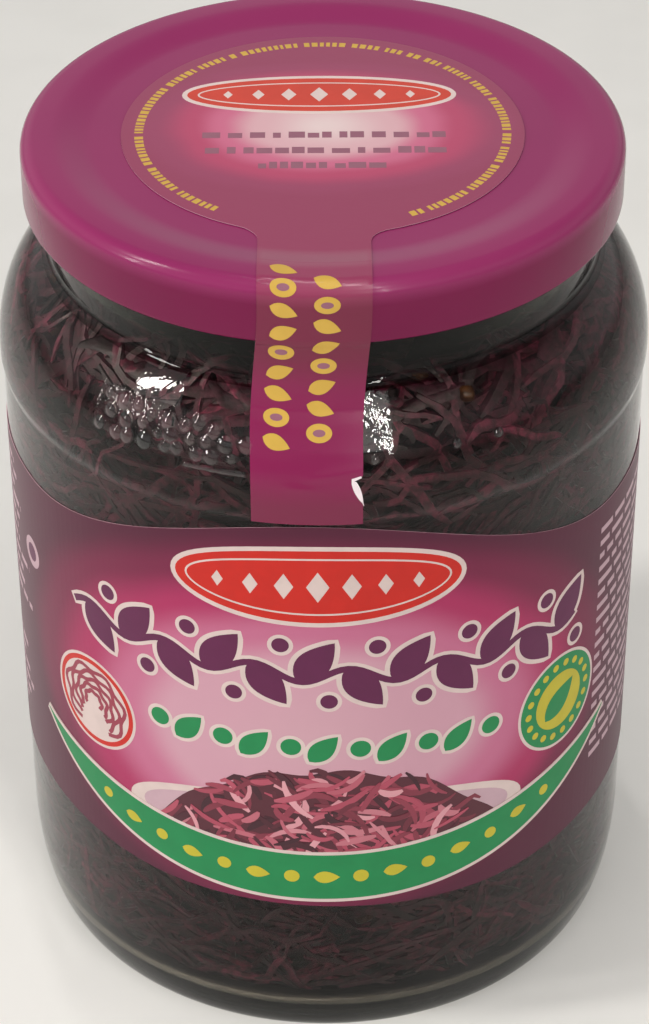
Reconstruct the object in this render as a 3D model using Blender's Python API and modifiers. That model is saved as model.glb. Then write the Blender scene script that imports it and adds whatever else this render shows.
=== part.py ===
"""A glass jar of shredded red cabbage with a twist-off lid, a paper label and a seal strip.

Run it with blender --background --python part.py, or from Blender's text editor.
Units are metres and +Z is up. The jar stands on z = 0 with its axis on the Z axis, and the
front of its label faces -Y. Angles round the jar are counted from the front towards +X.
"""

import math
import random

import bmesh
import bpy
from mathutils import Vector

MM = 0.001

# Driving dimensions of the whole
TOTAL_HEIGHT = 133.0 * MM       # base ring to the crest of the lid
TURN_STEPS = 60                 # sides of every turned piece, so that their facets run parallel

# Lid: an 82 mm twist-off cap of pressed tinplate
LID_RADIUS = 42.8 * MM          # outside of the skirt
LID_HEIGHT = 9.5 * MM
LID_SHEET = 0.5 * MM
LID_EDGE_ROUND = 2.0 * MM       # round between the rim and the skirt
LID_PANEL_DROP = 0.9 * MM       # how far the middle lies below the rim
LID_PANEL_RADIUS = 32.5 * MM
LID_SLOPE_RADIUS = 38.6 * MM    # where the slope up from the middle ends
LID_SLOPE_SHARES = (0.3, 0.5, 0.7, 1.0)  # places along that slope, out of 1
LID_CURL_RADIUS = 0.9 * MM      # rolled lower edge of the skirt

# Glass
BODY_RADIUS = 47.2 * MM         # straight wall, under the label
CONTACT_RADIUS = 47.55 * MM     # ring at the foot of the shoulder, the widest part
WALL = 2.9 * MM
CONTACT_LOW = 98.6 * MM
SHOULDER_LOW = 100.4 * MM       # where the ring ends and the dome begins
SHOULDER_RISE = 16.0 * MM
DOME_CENTRE = 36.0 * MM         # radius at which the dome would close
NECK_RADIUS = 39.4 * MM
NECK_FILLET = 2.0 * MM
THREAD_STAND = 1.0 * MM         # how far the thread stands out of the neck
THREAD_DROP = 3.4 * MM          # from the rim down to the thread
THREAD_HEIGHT = 3.1 * MM
THREAD_SLOPE = 0.9 * MM         # height of its slanted sides
RIM_TOP = 132.2 * MM
FOOT_RADIUS = 43.6 * MM         # outer edge of the ring that the jar stands on
FOOT_INNER = 38.0 * MM
HEEL_HEIGHT = 16.0 * MM
CONTACT_STEP = 0.8 * MM         # height over which the ring runs out into the straight wall
PUSH_UP = 3.0 * MM              # hollow under the middle of the base
PUSH_UP_EDGE = 3.0 * MM         # width over which most of that hollow is reached
PUSH_UP_EDGE_SHARE = 0.6        # how much of it is reached there
BASE_THICKNESS = 3.0 * MM
FLOOR_SAG = 0.9                 # how much of the hollow the floor inside follows
HEEL_INSIDE = 8.5 * MM          # height of the inner heel's round
HEEL_WIDTH = 7.0 * MM           # width of that round
DOME_INSIDE_END = 84.0          # degrees at which the inner dome meets the neck
DOME_INSIDE_REACH = 0.4 * MM    # how far the inner dome would reach inside the neck

# Label and seal strip
PAPER_GAP = 0.2 * MM
PAPER = 0.2 * MM
LABEL_LOW = 27.7 * MM           # lower edge at the front
LABEL_SIDE_TOP = 86.3 * MM      # upper edge at the sides
LABEL_ARCH = 11.1 * MM          # how much higher the upper edge is at the front
LABEL_ARCH_ANGLE = 62.0         # degrees to each side over which the arch runs out
LABEL_SIDE_LIFT = 2.0 * MM      # how much higher the lower edge is at the sides
LABEL_LIFT_ANGLES = (25.0, 70.0)  # degrees between which the lower edge rises
LABEL_SKEW = 1.6 * MM           # how far it drops on the right and rises on the left, being askew
LABEL_COLUMNS = 60
LABEL_ROWS = 2
LABEL_SEAM_GAP = 1.0            # degrees left open at the back
SEAL_RADIUS = 28.5 * MM         # round part on the lid
STRIP_WIDTH = 15.2 * MM
STRIP_FILLET = 4.0 * MM         # round where the strip leaves the disc
STRIP_FILLET_SHARE = 0.6        # how much of that round the facets show
STRIP_ROOT = 1.3 * MM           # first row of the strip, outside the disc
STRIP_UNDER_LID = 0.5 * MM      # how far below the lid the strip turns towards the glass
STRIP_DOME_ANGLES = (54.0, 36.0, 18.0, 0.0)
STRIP_TOP_X = -1.2 * MM         # middle of the strip at the lid
STRIP_LOW_X = -2.4 * MM         # middle of the strip at the label
STRIP_LOW = 98.0 * MM           # end of the strip, at the label's upper edge
STRIP_COLUMNS = 6

# Cabbage: a core with shreds lying along the wall
SHRED_COUNT = 68
SHRED_LENGTH = (24.0 * MM, 40.0 * MM)
SHRED_WIDTH = (2.6 * MM, 4.4 * MM)
SHRED_THICKNESS = 1.7 * MM
SHRED_SEGMENTS = 4
SHRED_TILT = 38.0               # degrees out of the level, at most
SHRED_BEND = 6.0                # curvature of the most bent shred, 1/m
SHRED_NARROWING = (0.35, 0.75)  # width of a shred's ends, out of its full width
SHRED_GAP = 0.45 * MM           # between the shreds and the glass
DOME_GAP = 1.2 * MM             # further gap at the top of the shoulder, where the glass slopes
SHRED_LOW = 24.0 * MM           # heights of the middles of the lowest and the highest shred
SHRED_HIGH = 107.0 * MM
CORE_DEPTH = 1.9 * MM           # between the core and the glass
CORE_STEPS = 40
CORE_TOP_ROUND = (3.0 * MM, 2.0 * MM)  # width and height of the round at the core's top
CORE_FLOOR_RISE = 1.5 * MM      # how much higher the middle of the core's underside is
CABBAGE_TOP = 117.0 * MM
TOP_SHRED_COUNT = 8
TOP_SHRED_REACH = 18.0 * MM     # how far from the axis the shreds on top lie
TOP_SHRED_SHARE = 0.7           # their length, out of the others' length
TOP_SHRED_SINK = 0.3 * MM
GOLDEN_ANGLE = 137.508          # degrees from one shred to the next, so that they spread evenly
SEED = 7

MERGE = 0.01 * MM


def clear_scene():
    for obj in list(bpy.data.objects):
        bpy.data.objects.remove(obj, do_unlink=True)


def new_collection(name):
    collection = bpy.data.collections.new(name)
    bpy.context.scene.collection.children.link(collection)
    return collection


def new_material(name, color, roughness, metallic=0.0, transmission=0.0):
    material = bpy.data.materials.new(name)
    material.use_nodes = True
    shader = material.node_tree.nodes["Principled BSDF"]
    shader.inputs["Base Color"].default_value = (*color, 1.0)
    shader.inputs["Roughness"].default_value = roughness
    shader.inputs["Metallic"].default_value = metallic
    shader.inputs["Transmission Weight"].default_value = transmission
    return material


def new_object(name, bm, collection, material=None):
    mesh = bpy.data.meshes.new(name)
    bm.to_mesh(mesh)
    bm.free()
    obj = bpy.data.objects.new(name, mesh)
    collection.objects.link(obj)
    if material is not None:
        mesh.materials.append(material)
    mesh.shade_smooth()
    return obj


# Profiles, as (radius, height) points


def arc(centre, radii, start, end, count):
    """Points of an elliptical arc, with its angles in degrees from outwards towards up."""
    points = []
    for i in range(count):
        angle = math.radians(start + (end - start) * i / (count - 1))
        points.append((centre[0] + radii[0] * math.cos(angle), centre[1] + radii[1] * math.sin(angle)))
    return points


def lid_top_profile(offset=0.0):
    """The lid's outer side from its middle to the foot of its skirt, moved outwards by an offset."""
    top = TOTAL_HEIGHT + offset
    low = top - LID_PANEL_DROP
    round_radius = LID_EDGE_ROUND + offset
    points = [(LID_PANEL_RADIUS, low)]
    for share in LID_SLOPE_SHARES:
        rise = share * share * (3.0 - 2.0 * share)
        radius = LID_PANEL_RADIUS + share * (LID_SLOPE_RADIUS - LID_PANEL_RADIUS)
        points.append((radius, low + rise * LID_PANEL_DROP))
    centre = (LID_RADIUS - LID_EDGE_ROUND, TOTAL_HEIGHT - LID_EDGE_ROUND)
    points += arc(centre, (round_radius, round_radius), 90.0, 0.0, 4)
    return points


def lid_profile():
    foot = TOTAL_HEIGHT - LID_HEIGHT + LID_CURL_RADIUS
    curl_centre = (LID_RADIUS - LID_CURL_RADIUS, foot)
    curl = arc(curl_centre, (LID_CURL_RADIUS, LID_CURL_RADIUS), 0.0, -180.0, 4)
    inner = [(r, z) for r, z in reversed(lid_top_profile(-LID_SHEET))]
    outer_middle = (0.0, TOTAL_HEIGHT - LID_PANEL_DROP)
    inner_middle = (0.0, TOTAL_HEIGHT - LID_PANEL_DROP - LID_SHEET)
    curl_end = (LID_RADIUS - LID_SHEET, foot + LID_CURL_RADIUS)
    return [outer_middle] + lid_top_profile() + curl + [curl_end] + inner + [inner_middle]


def dome_end_angle():
    """Angle on the outer dome at which the fillet up to the neck begins, found by halving."""
    low, high = 30.0, 89.0
    for _ in range(40):
        middle = 0.5 * (low + high)
        point, normal = dome_point(middle)
        reach = point[0] + NECK_FILLET * normal[0] - NECK_FILLET
        if reach > NECK_RADIUS:
            low = middle
        else:
            high = middle
    return low


def dome_point(angle, offset=0.0):
    """A point of the outer dome and its outward normal."""
    turn = math.radians(angle)
    radius = CONTACT_RADIUS - DOME_CENTRE
    point = (DOME_CENTRE + radius * math.cos(turn), SHOULDER_LOW + SHOULDER_RISE * math.sin(turn))
    normal = Vector((SHOULDER_RISE * math.cos(turn), radius * math.sin(turn))).normalized()
    return (point[0] + offset * normal[0], point[1] + offset * normal[1]), normal


def inner_wall():
    """The glass's inner side from the floor to the neck."""
    inner_radius = BODY_RADIUS - WALL
    floor = PUSH_UP + BASE_THICKNESS
    heel_floor = floor - FLOOR_SAG * PUSH_UP
    neck_inner = NECK_RADIUS - WALL
    heel_centre = (inner_radius - HEEL_WIDTH, heel_floor + HEEL_INSIDE)
    dome_radii = (inner_radius - neck_inner + DOME_INSIDE_REACH, SHOULDER_RISE - WALL)
    dome_centre = (neck_inner - DOME_INSIDE_REACH, SHOULDER_LOW)
    points = arc(heel_centre, (HEEL_WIDTH, HEEL_INSIDE), -90.0, 0.0, 4)
    points += arc(dome_centre, dome_radii, 0.0, DOME_INSIDE_END, 5)
    points.append((neck_inner, SHOULDER_LOW + SHOULDER_RISE))
    return points


def glass_profile():
    floor_middle = (0.0, PUSH_UP + BASE_THICKNESS)
    rim_round = 0.5 * WALL
    rim_centre = (NECK_RADIUS - rim_round, RIM_TOP - rim_round)
    rim = arc(rim_centre, (rim_round, rim_round), 180.0, 0.0, 5)
    thread_top = RIM_TOP - THREAD_DROP
    thread_foot = thread_top - THREAD_HEIGHT
    thread = [
        (NECK_RADIUS, thread_top),
        (NECK_RADIUS + THREAD_STAND, thread_top - THREAD_SLOPE),
        (NECK_RADIUS + THREAD_STAND, thread_foot + THREAD_SLOPE),
        (NECK_RADIUS, thread_foot),
    ]
    end = dome_end_angle()
    point, normal = dome_point(end)
    fillet_centre = (point[0] + NECK_FILLET * normal[0], point[1] + NECK_FILLET * normal[1])
    fillet_start = math.degrees(math.atan2(-normal[1], -normal[0]))
    fillet = arc(fillet_centre, (NECK_FILLET, NECK_FILLET), -180.0, fillet_start, 3)
    dome = [dome_point(end * (1.0 - i / 4))[0] for i in range(1, 5)]
    ring = [(CONTACT_RADIUS, CONTACT_LOW), (BODY_RADIUS, CONTACT_LOW - CONTACT_STEP)]
    heel_centre = (FOOT_RADIUS, HEEL_HEIGHT)
    heel = arc(heel_centre, (BODY_RADIUS - FOOT_RADIUS, HEEL_HEIGHT), 0.0, -90.0, 5)
    base = [
        (FOOT_INNER, 0.0),
        (FOOT_INNER - PUSH_UP_EDGE, PUSH_UP_EDGE_SHARE * PUSH_UP),
        (0.0, PUSH_UP),
    ]
    return [floor_middle] + inner_wall() + rim + thread + fillet + dome + ring + heel + base


def turned(name, profile, steps, collection, material):
    """A solid of revolution from a profile that starts and ends on the axis."""
    bm = bmesh.new()
    verts = [bm.verts.new((radius, 0.0, height)) for radius, height in profile]
    for start, end in zip(verts, verts[1:]):
        bm.edges.new((start, end))
    obj = new_object(name, bm, collection, material)
    screw = obj.modifiers.new("Turn", "SCREW")
    screw.steps = steps
    screw.render_steps = steps
    screw.use_merge_vertices = True
    screw.merge_threshold = MERGE
    screw.use_smooth_shade = True
    return obj


# Label and seal strip


def smooth_step(low, high, value):
    share = min(max((value - low) / (high - low), 0.0), 1.0)
    return share * share * (3.0 - 2.0 * share)


def label_skew(angle):
    return -LABEL_SKEW * math.sin(math.radians(angle))


def label_top(angle):
    share = min(abs(angle) / LABEL_ARCH_ANGLE, 1.0)
    arch = LABEL_ARCH * 0.5 * (1.0 + math.cos(math.pi * share))
    return LABEL_SIDE_TOP + arch + label_skew(angle)


def label_bottom(angle):
    lift = LABEL_SIDE_LIFT * smooth_step(*LABEL_LIFT_ANGLES, abs(angle))
    return LABEL_LOW + lift + label_skew(angle)


def on_cylinder(radius, angle, height):
    turn = math.radians(angle)
    return Vector((radius * math.sin(turn), -radius * math.cos(turn), height))


def make_label(collection, material):
    """A sheet of paper round the straight wall, arched at the top and open at the back."""
    bm = bmesh.new()
    bmesh.ops.create_grid(bm, x_segments=LABEL_COLUMNS, y_segments=LABEL_ROWS, size=1.0)
    radius = BODY_RADIUS + PAPER_GAP
    reach = 180.0 - 0.5 * LABEL_SEAM_GAP
    for vert in bm.verts:
        angle = vert.co.x * reach
        share = 0.5 * (vert.co.y + 1.0)
        low = label_bottom(angle)
        vert.co = on_cylinder(radius, angle, low + share * (label_top(angle) - low))
    label = new_object("label", bm, collection, material)
    add_thickness(label)
    return label


def add_thickness(obj):
    paper = obj.modifiers.new("Paper", "SOLIDIFY")
    paper.thickness = PAPER
    paper.offset = 1.0


def strip_stations():
    """The strip's way down: over the lid's edge, in under the lid, and along the shoulder."""
    stations = [(SEAL_RADIUS + STRIP_ROOT, lid_top_profile(PAPER_GAP)[0][1])]
    stations += lid_top_profile(PAPER_GAP)
    foot = TOTAL_HEIGHT - LID_HEIGHT
    stations.append((LID_RADIUS + PAPER_GAP, foot + LID_CURL_RADIUS))
    stations.append((LID_RADIUS, foot - STRIP_UNDER_LID))
    for angle in STRIP_DOME_ANGLES:
        stations.append(dome_point(angle, PAPER_GAP)[0])
    stations.append((CONTACT_RADIUS + PAPER_GAP, STRIP_LOW))
    return stations


def strip_half_width(radius, height):
    """Half the strip's width, wider where it leaves the disc on the lid."""
    half = 0.5 * STRIP_WIDTH
    leaving = (radius - SEAL_RADIUS) / STRIP_FILLET
    if height > TOTAL_HEIGHT - LID_PANEL_DROP - MM and leaving < 1.0:
        half += STRIP_FILLET_SHARE * STRIP_FILLET * (1.0 - math.sqrt(1.0 - (1.0 - leaving) ** 2))
    return half


def make_seal(collection, material):
    """A round paper seal on the lid whose strip runs down the front to the label."""
    bm = bmesh.new()
    bmesh.ops.create_circle(bm, cap_ends=True, radius=SEAL_RADIUS, segments=TURN_STEPS)
    height = lid_top_profile(PAPER_GAP)[0][1]
    for vert in bm.verts:
        vert.co.z = height
    bm.verts.ensure_lookup_table()
    step = 360.0 / TURN_STEPS
    reach = (0.5 * STRIP_COLUMNS + 0.1) * step
    row = [vert for vert in bm.verts if abs(math.degrees(math.atan2(vert.co.x, -vert.co.y))) < reach]
    row.sort(key=lambda vert: vert.co.x)
    edges = [bm.edges.get((a, b)) for a, b in zip(row, row[1:])]
    stations = strip_stations()
    for radius, height in stations:
        made = bmesh.ops.extrude_edge_only(bm, edges=edges)
        row = [item for item in made["geom"] if isinstance(item, bmesh.types.BMVert)]
        edges = [item for item in made["geom"] if isinstance(item, bmesh.types.BMEdge)
                 and all(vert in row for vert in item.verts)]
        row.sort(key=lambda vert: vert.co.x)
        half = strip_half_width(radius, height)
        down = smooth_step(TOTAL_HEIGHT - 2.0 * MM, STRIP_LOW, height)
        middle = STRIP_TOP_X + (STRIP_LOW_X - STRIP_TOP_X) * down
        for index, vert in enumerate(row):
            x = middle + half * (2.0 * index / STRIP_COLUMNS - 1.0)
            vert.co = Vector((x, -math.sqrt(radius * radius - x * x), height))
    bmesh.ops.recalc_face_normals(bm, faces=bm.faces)
    bmesh.ops.triangulate(bm, faces=[face for face in bm.faces if len(face.verts) == 4])
    if sum((face.normal.z for face in bm.faces)) < 0.0:
        bmesh.ops.reverse_faces(bm, faces=bm.faces)
    seal = new_object("seal_strip", bm, collection, material)
    add_thickness(seal)
    return seal


# Cabbage


def wall_radius(height):
    """Inner radius of the glass at a height between the floor and the neck."""
    wall = inner_wall()
    for (r0, z0), (r1, z1) in zip(wall, wall[1:]):
        if z0 <= height <= z1:
            return r0 + (r1 - r0) * (height - z0) / (z1 - z0)
    return wall[-1][0]


def core_profile():
    wall = inner_wall()
    floor = wall[0][1] + CORE_DEPTH
    side = [(radius - CORE_DEPTH, max(height, floor)) for radius, height in wall]
    round_width, round_height = CORE_TOP_ROUND
    side = [point for point in side if point[1] < CABBAGE_TOP - round_height]
    neck = wall[-1][0] - CORE_DEPTH
    top = [(neck, CABBAGE_TOP - round_height), (neck - round_width, CABBAGE_TOP)]
    return [(0.0, CABBAGE_TOP)] + list(reversed(side + top)) + [(0.0, floor + CORE_FLOOR_RISE)]


def shred_bar(length, width, draw):
    """A straight bar along X with narrowed ends; its outer side is at y = 0."""
    bm = bmesh.new()
    bmesh.ops.create_cube(bm, size=1.0)
    along = [edge for edge in bm.edges if abs(edge.verts[0].co.x - edge.verts[1].co.x) > 0.5]
    bmesh.ops.subdivide_edges(bm, edges=along, cuts=SHRED_SEGMENTS - 1)
    narrow = draw.uniform(*SHRED_NARROWING)
    for vert in bm.verts:
        x, y, z = vert.co
        taper = 1.0 if abs(x) < 0.49 else narrow
        vert.co = Vector((x * length, (y - 0.5) * SHRED_THICKNESS, z * width * taper))
    return bm


def wall_shred(index, draw, collection):
    """A shred that lies along the inside of the glass."""
    length = draw.uniform(*SHRED_LENGTH)
    bm = shred_bar(length, draw.uniform(*SHRED_WIDTH), draw)
    share = (index + 0.5) / SHRED_COUNT
    middle = SHRED_LOW + share * (SHRED_HIGH - SHRED_LOW)
    turn = index * GOLDEN_ANGLE
    tilt = math.radians(draw.uniform(-SHRED_TILT, SHRED_TILT))
    bend = draw.uniform(-SHRED_BEND, SHRED_BEND)
    for vert in bm.verts:
        x, y, z = vert.co
        z += bend * x * x
        along = x * math.cos(tilt) - z * math.sin(tilt)
        height = middle + x * math.sin(tilt) + z * math.cos(tilt)
        dome = smooth_step(SHOULDER_LOW, SHOULDER_LOW + SHOULDER_RISE, height)
        radius = wall_radius(height) - SHRED_GAP - DOME_GAP * dome + y
        vert.co = on_cylinder(radius, turn + math.degrees(along / radius), height)
    return new_object(f"shred_{index:02d}", bm, collection)


def top_shred(index, draw, collection):
    """A shred that lies on top of the cabbage, in the neck."""
    bm = shred_bar(draw.uniform(*SHRED_LENGTH) * TOP_SHRED_SHARE, draw.uniform(*SHRED_WIDTH), draw)
    reach = TOP_SHRED_REACH * math.sqrt((index + 0.5) / TOP_SHRED_COUNT)
    middle = on_cylinder(reach, index * GOLDEN_ANGLE, CABBAGE_TOP - TOP_SHRED_SINK)
    turn = draw.uniform(0.0, math.pi)
    for vert in bm.verts:
        x, y, z = vert.co
        flat = Vector((x * math.cos(turn) - z * math.sin(turn), x * math.sin(turn) + z * math.cos(turn), -y))
        vert.co = middle + flat
    return new_object(f"top_shred_{index:02d}", bm, collection)


def keep_largest_shell(obj):
    """Drops loose scraps and the walls of sealed hollows, so that one closed body is left."""
    bm = bmesh.new()
    bm.from_mesh(obj.data)
    bmesh.ops.triangulate(bm, faces=bm.faces)
    shells = []
    left = set(bm.faces)
    while left:
        shell = set()
        edge_of_shell = [left.pop()]
        while edge_of_shell:
            face = edge_of_shell.pop()
            shell.add(face)
            for edge in face.edges:
                for other in edge.link_faces:
                    if other in left:
                        left.discard(other)
                        edge_of_shell.append(other)
        shells.append(shell)
    largest = max(shells, key=len)
    scraps = [face for face in bm.faces if face not in largest]
    bmesh.ops.delete(bm, geom=scraps, context="FACES")
    bm.to_mesh(obj.data)
    bm.free()


def make_cabbage(collection, cutters, material):
    """The packed cabbage: a turned core with the shreds joined on."""
    draw = random.Random(SEED)
    for index in range(SHRED_COUNT):
        wall_shred(index, draw, cutters)
    for index in range(TOP_SHRED_COUNT):
        top_shred(index, draw, cutters)
    cabbage = turned("red_cabbage", core_profile(), CORE_STEPS, collection, material)
    join = cabbage.modifiers.new("Join shreds", "BOOLEAN")
    join.operation = "UNION"
    join.operand_type = "COLLECTION"
    join.collection = cutters
    join.solver = "EXACT"
    depsgraph = bpy.context.evaluated_depsgraph_get()
    joined = bpy.data.meshes.new_from_object(cabbage.evaluated_get(depsgraph))
    cabbage.modifiers.clear()
    cabbage.data = joined
    joined.materials.clear()
    joined.materials.append(material)
    for obj in list(cutters.objects):
        bpy.data.objects.remove(obj, do_unlink=True)
    keep_largest_shell(cabbage)
    joined.shade_smooth()
    joined.set_sharp_from_angle(angle=math.radians(40.0))
    return cabbage


def main():
    clear_scene()
    jar = new_collection("red_cabbage_jar")
    cutters = new_collection("cutters")

    glass = new_material("clear_glass", (0.90, 0.94, 0.90), 0.03, transmission=1.0)
    plum_lacquer = new_material("plum_lacquer", (0.28, 0.025, 0.15), 0.25)
    label_print = new_material("label_print", (0.22, 0.02, 0.09), 0.35)
    seal_print = new_material("seal_print", (0.24, 0.03, 0.11), 0.4)
    cabbage = new_material("cabbage", (0.10, 0.008, 0.03), 0.45)

    turned("jar_glass", glass_profile(), TURN_STEPS, jar, glass)
    turned("lid", lid_profile(), TURN_STEPS, jar, plum_lacquer)
    make_label(jar, label_print)
    make_seal(jar, seal_print)
    make_cabbage(jar, cutters, cabbage)


main()
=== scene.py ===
# %% [markdown]
# # A jar of red cabbage
# The real thing is a glass jar with a twist-off lid, a printed paper label and a seal strip that
# runs from the lid down to the label. It is packed with shredded cabbage in dark juice. Its
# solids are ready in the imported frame, so this script only gives them their fine surface, and
# each piece stands exactly where its solid stands.

import math
import random

import bmesh
import bpy
import numpy as np
from mathutils import Euler, Matrix, Vector


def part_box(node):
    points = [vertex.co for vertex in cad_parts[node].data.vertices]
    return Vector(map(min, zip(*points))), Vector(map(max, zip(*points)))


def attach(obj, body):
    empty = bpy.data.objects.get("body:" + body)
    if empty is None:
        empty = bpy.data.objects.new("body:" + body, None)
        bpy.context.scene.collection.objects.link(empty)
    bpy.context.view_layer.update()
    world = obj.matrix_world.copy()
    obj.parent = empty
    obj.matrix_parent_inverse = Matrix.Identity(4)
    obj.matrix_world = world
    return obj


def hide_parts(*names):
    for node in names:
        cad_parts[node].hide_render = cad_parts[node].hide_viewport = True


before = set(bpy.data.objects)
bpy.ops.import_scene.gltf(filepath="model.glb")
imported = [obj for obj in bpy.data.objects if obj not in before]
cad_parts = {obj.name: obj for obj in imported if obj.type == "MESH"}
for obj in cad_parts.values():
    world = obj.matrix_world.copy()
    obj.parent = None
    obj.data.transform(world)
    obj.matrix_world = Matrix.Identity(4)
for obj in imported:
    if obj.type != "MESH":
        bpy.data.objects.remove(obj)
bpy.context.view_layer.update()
print("solids:", ", ".join(sorted(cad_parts)))

# %% [markdown]
# The sizes that the solids already know are read from their boxes: the lid's radius and height,
# the widest ring of the glass, the label's lower edge and the foot of the seal strip. The rest
# are wall thicknesses and rounds that only a drawing would show, so they are named here once.

# %% Sizes of the jar
MM = 0.001
lid_low, lid_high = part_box("lid")
glass_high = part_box("jar_glass")[1]
TOTAL_HEIGHT = lid_high.z
LID_RADIUS = lid_high.x
LID_FOOT = lid_low.z
CONTACT_RADIUS = glass_high.x
RIM_TOP = glass_high.z
STRIP_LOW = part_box("seal_strip")[0].z
BODY_RADIUS = CONTACT_RADIUS - 0.35 * MM
WALL = 2.9 * MM
NECK_RADIUS = LID_RADIUS - 3.4 * MM
SHOULDER_LOW = 100.4 * MM
SHOULDER_RISE = 16.0 * MM
print("lid radius", round(LID_RADIUS / MM, 2), "mm; widest ring", round(CONTACT_RADIUS / MM, 2), "mm")

# %% [markdown]
# Most pieces of a jar are turned shapes, so the script needs only a few drawing helpers: an arc
# of points, a soft step from 0 to 1, and a spin that turns an outline round the jar's axis. A
# bmesh spin is used instead of a Screw modifier, because the finished mesh can then be reshaped
# vertex by vertex. Doubles at the poles are merged before the normals are turned outwards.

# %% Drawing helpers
def arc(centre, radii, start, end, count):
    """Points of an elliptical arc as (radius, height), with angles from outwards towards up."""
    points = []
    for turn in np.radians(np.linspace(start, end, count)):
        points.append((centre[0] + radii[0] * math.cos(turn), centre[1] + radii[1] * math.sin(turn)))
    return points


def smooth_step(low, high, value):
    """Rises softly from 0 at the low value to 1 at the high one."""
    share = min(max((value - low) / (high - low), 0.0), 1.0)
    return share * share * (3.0 - 2.0 * share)


def turned(profile, steps):
    """Spins an outline that starts and ends on the axis into one closed shape."""
    bm = bmesh.new()
    verts = [bm.verts.new((radius, 0.0, height)) for radius, height in profile]
    edges = [bm.edges.new(pair) for pair in zip(verts, verts[1:])]
    bmesh.ops.spin(bm, geom=verts + edges, cent=(0, 0, 0), axis=(0, 0, 1),
                   angle=2.0 * math.pi, steps=steps, use_merge=True)
    bmesh.ops.remove_doubles(bm, verts=bm.verts, dist=0.001 * MM)
    bmesh.ops.recalc_face_normals(bm, faces=bm.faces)
    return bm


def on_wall(radius, angle, height):
    """A point at an angle round the jar, in degrees from the front towards +X."""
    turn = math.radians(angle)
    return Vector((radius * math.sin(turn), -radius * math.cos(turn), height))


quarter = arc((0.0, 0.0), (1.0, 1.0), 0.0, 90.0, 3)
print("a quarter round in three points:", [(round(x, 2), round(y, 2)) for x, y in quarter])

# %% [markdown]
# Every finished mesh goes the same way into the scene: it gets its materials and smooth shading
# with sharp creases, rides on the jar's one body, and hides the solid that it stands for, if any.
# One function does that, so no piece can be forgotten.

# %% Finish a piece
def finish_piece(name, bm, materials, solid=None, crease=35.0):
    """Turns a bmesh into an object of the scene that stands for a solid or adds to it."""
    mesh = bpy.data.meshes.new(name)
    bm.to_mesh(mesh)
    bm.free()
    for material in materials:
        mesh.materials.append(material)
    mesh.shade_smooth()
    mesh.set_sharp_from_angle(angle=math.radians(crease))
    piece = bpy.data.objects.new(name, mesh)
    bpy.context.scene.collection.objects.link(piece)
    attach(piece, "root")
    if solid is not None:
        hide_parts(solid)
    print(f"{name}: {len(mesh.polygons)} faces")
    return piece


# %% [markdown]
# Colours are read off a print or a photograph as screen values, but a shader wants linear light.
# The first helper turns the usual six-digit form into linear values. The others start a material
# and add the few nodes that are used again and again. Image textures would need files and UV
# maps, so all patterns are worked out from Object coordinates, which stay fixed to the jar. A
# mesh can also store a value for each of its points, and the shader reads that as a tone.

# %% Colours and materials
def paint(code):
    """Linear colour from a six-digit screen colour."""
    values = []
    for start in (0, 2, 4):
        value = int(code[start:start + 2], 16) / 255.0
        values.append(value / 12.92 if value <= 0.04045 else ((value + 0.055) / 1.055) ** 2.4)
    return (*values, 1.0)


def new_material(name, roughness, specular=0.5):
    """A material with its node tree and its Principled shader."""
    material = bpy.data.materials.new(name)
    material.use_nodes = True
    tree = material.node_tree
    shader = tree.nodes["Principled BSDF"]
    shader.inputs["Roughness"].default_value = roughness
    shader.inputs["Specular IOR Level"].default_value = specular
    return material, tree, shader


def add_coat(shader, weight, roughness):
    """A clear layer of varnish or polish over the surface."""
    shader.inputs["Coat Weight"].default_value = weight
    shader.inputs["Coat Roughness"].default_value = roughness


print("mid grey on the screen is", round(paint("808080")[0], 3), "in linear light")

# %% Patterns that stay on the jar
def add_noise(tree, scale, detail=3.0):
    """Noise on Object coordinates. The scale counts waves in a metre."""
    place = tree.nodes.new("ShaderNodeTexCoord")
    noise = tree.nodes.new("ShaderNodeTexNoise")
    noise.inputs["Scale"].default_value = scale
    noise.inputs["Detail"].default_value = detail
    tree.links.new(place.outputs["Object"], noise.inputs["Vector"])
    return noise.outputs["Fac"]


def object_axes(tree):
    """The X, Y and Z of a point on the jar, as three sockets."""
    place = tree.nodes.new("ShaderNodeTexCoord")
    split = tree.nodes.new("ShaderNodeSeparateXYZ")
    tree.links.new(place.outputs["Object"], split.inputs[0])
    return split.outputs


def add_range(tree, value, low, high):
    """Runs from 0 to 1 while a value runs from low to high."""
    node = tree.nodes.new("ShaderNodeMapRange")
    node.inputs["From Min"].default_value = low
    node.inputs["From Max"].default_value = high
    tree.links.new(value, node.inputs["Value"])
    return node.outputs["Result"]


def stored_tone(tree):
    """The tone that a mesh stores for each of its points."""
    node = tree.nodes.new("ShaderNodeAttribute")
    node.attribute_name = "tone"
    return node.outputs["Fac"]


# %% Ramps and mixes of colour
def add_ramp(tree, factor, stops):
    """A colour ramp with (place, colour) stops, fed by a factor."""
    ramp = tree.nodes.new("ShaderNodeValToRGB")
    ramp.color_ramp.interpolation = "EASE"
    elements = ramp.color_ramp.elements
    while len(elements) < len(stops):
        elements.new(0.5)
    for element, (place, colour) in zip(elements, stops):
        element.position = place
        element.color = colour
    tree.links.new(factor, ramp.inputs["Fac"])
    return ramp.outputs["Color"]


def add_bump(tree, shader, height, distance, strength=1.0):
    """Small unevenness of the surface, from a height between 0 and 1."""
    bump = tree.nodes.new("ShaderNodeBump")
    bump.inputs["Distance"].default_value = distance
    bump.inputs["Strength"].default_value = strength
    tree.links.new(height, bump.inputs["Height"])
    tree.links.new(bump.outputs["Normal"], shader.inputs["Normal"])


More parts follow.
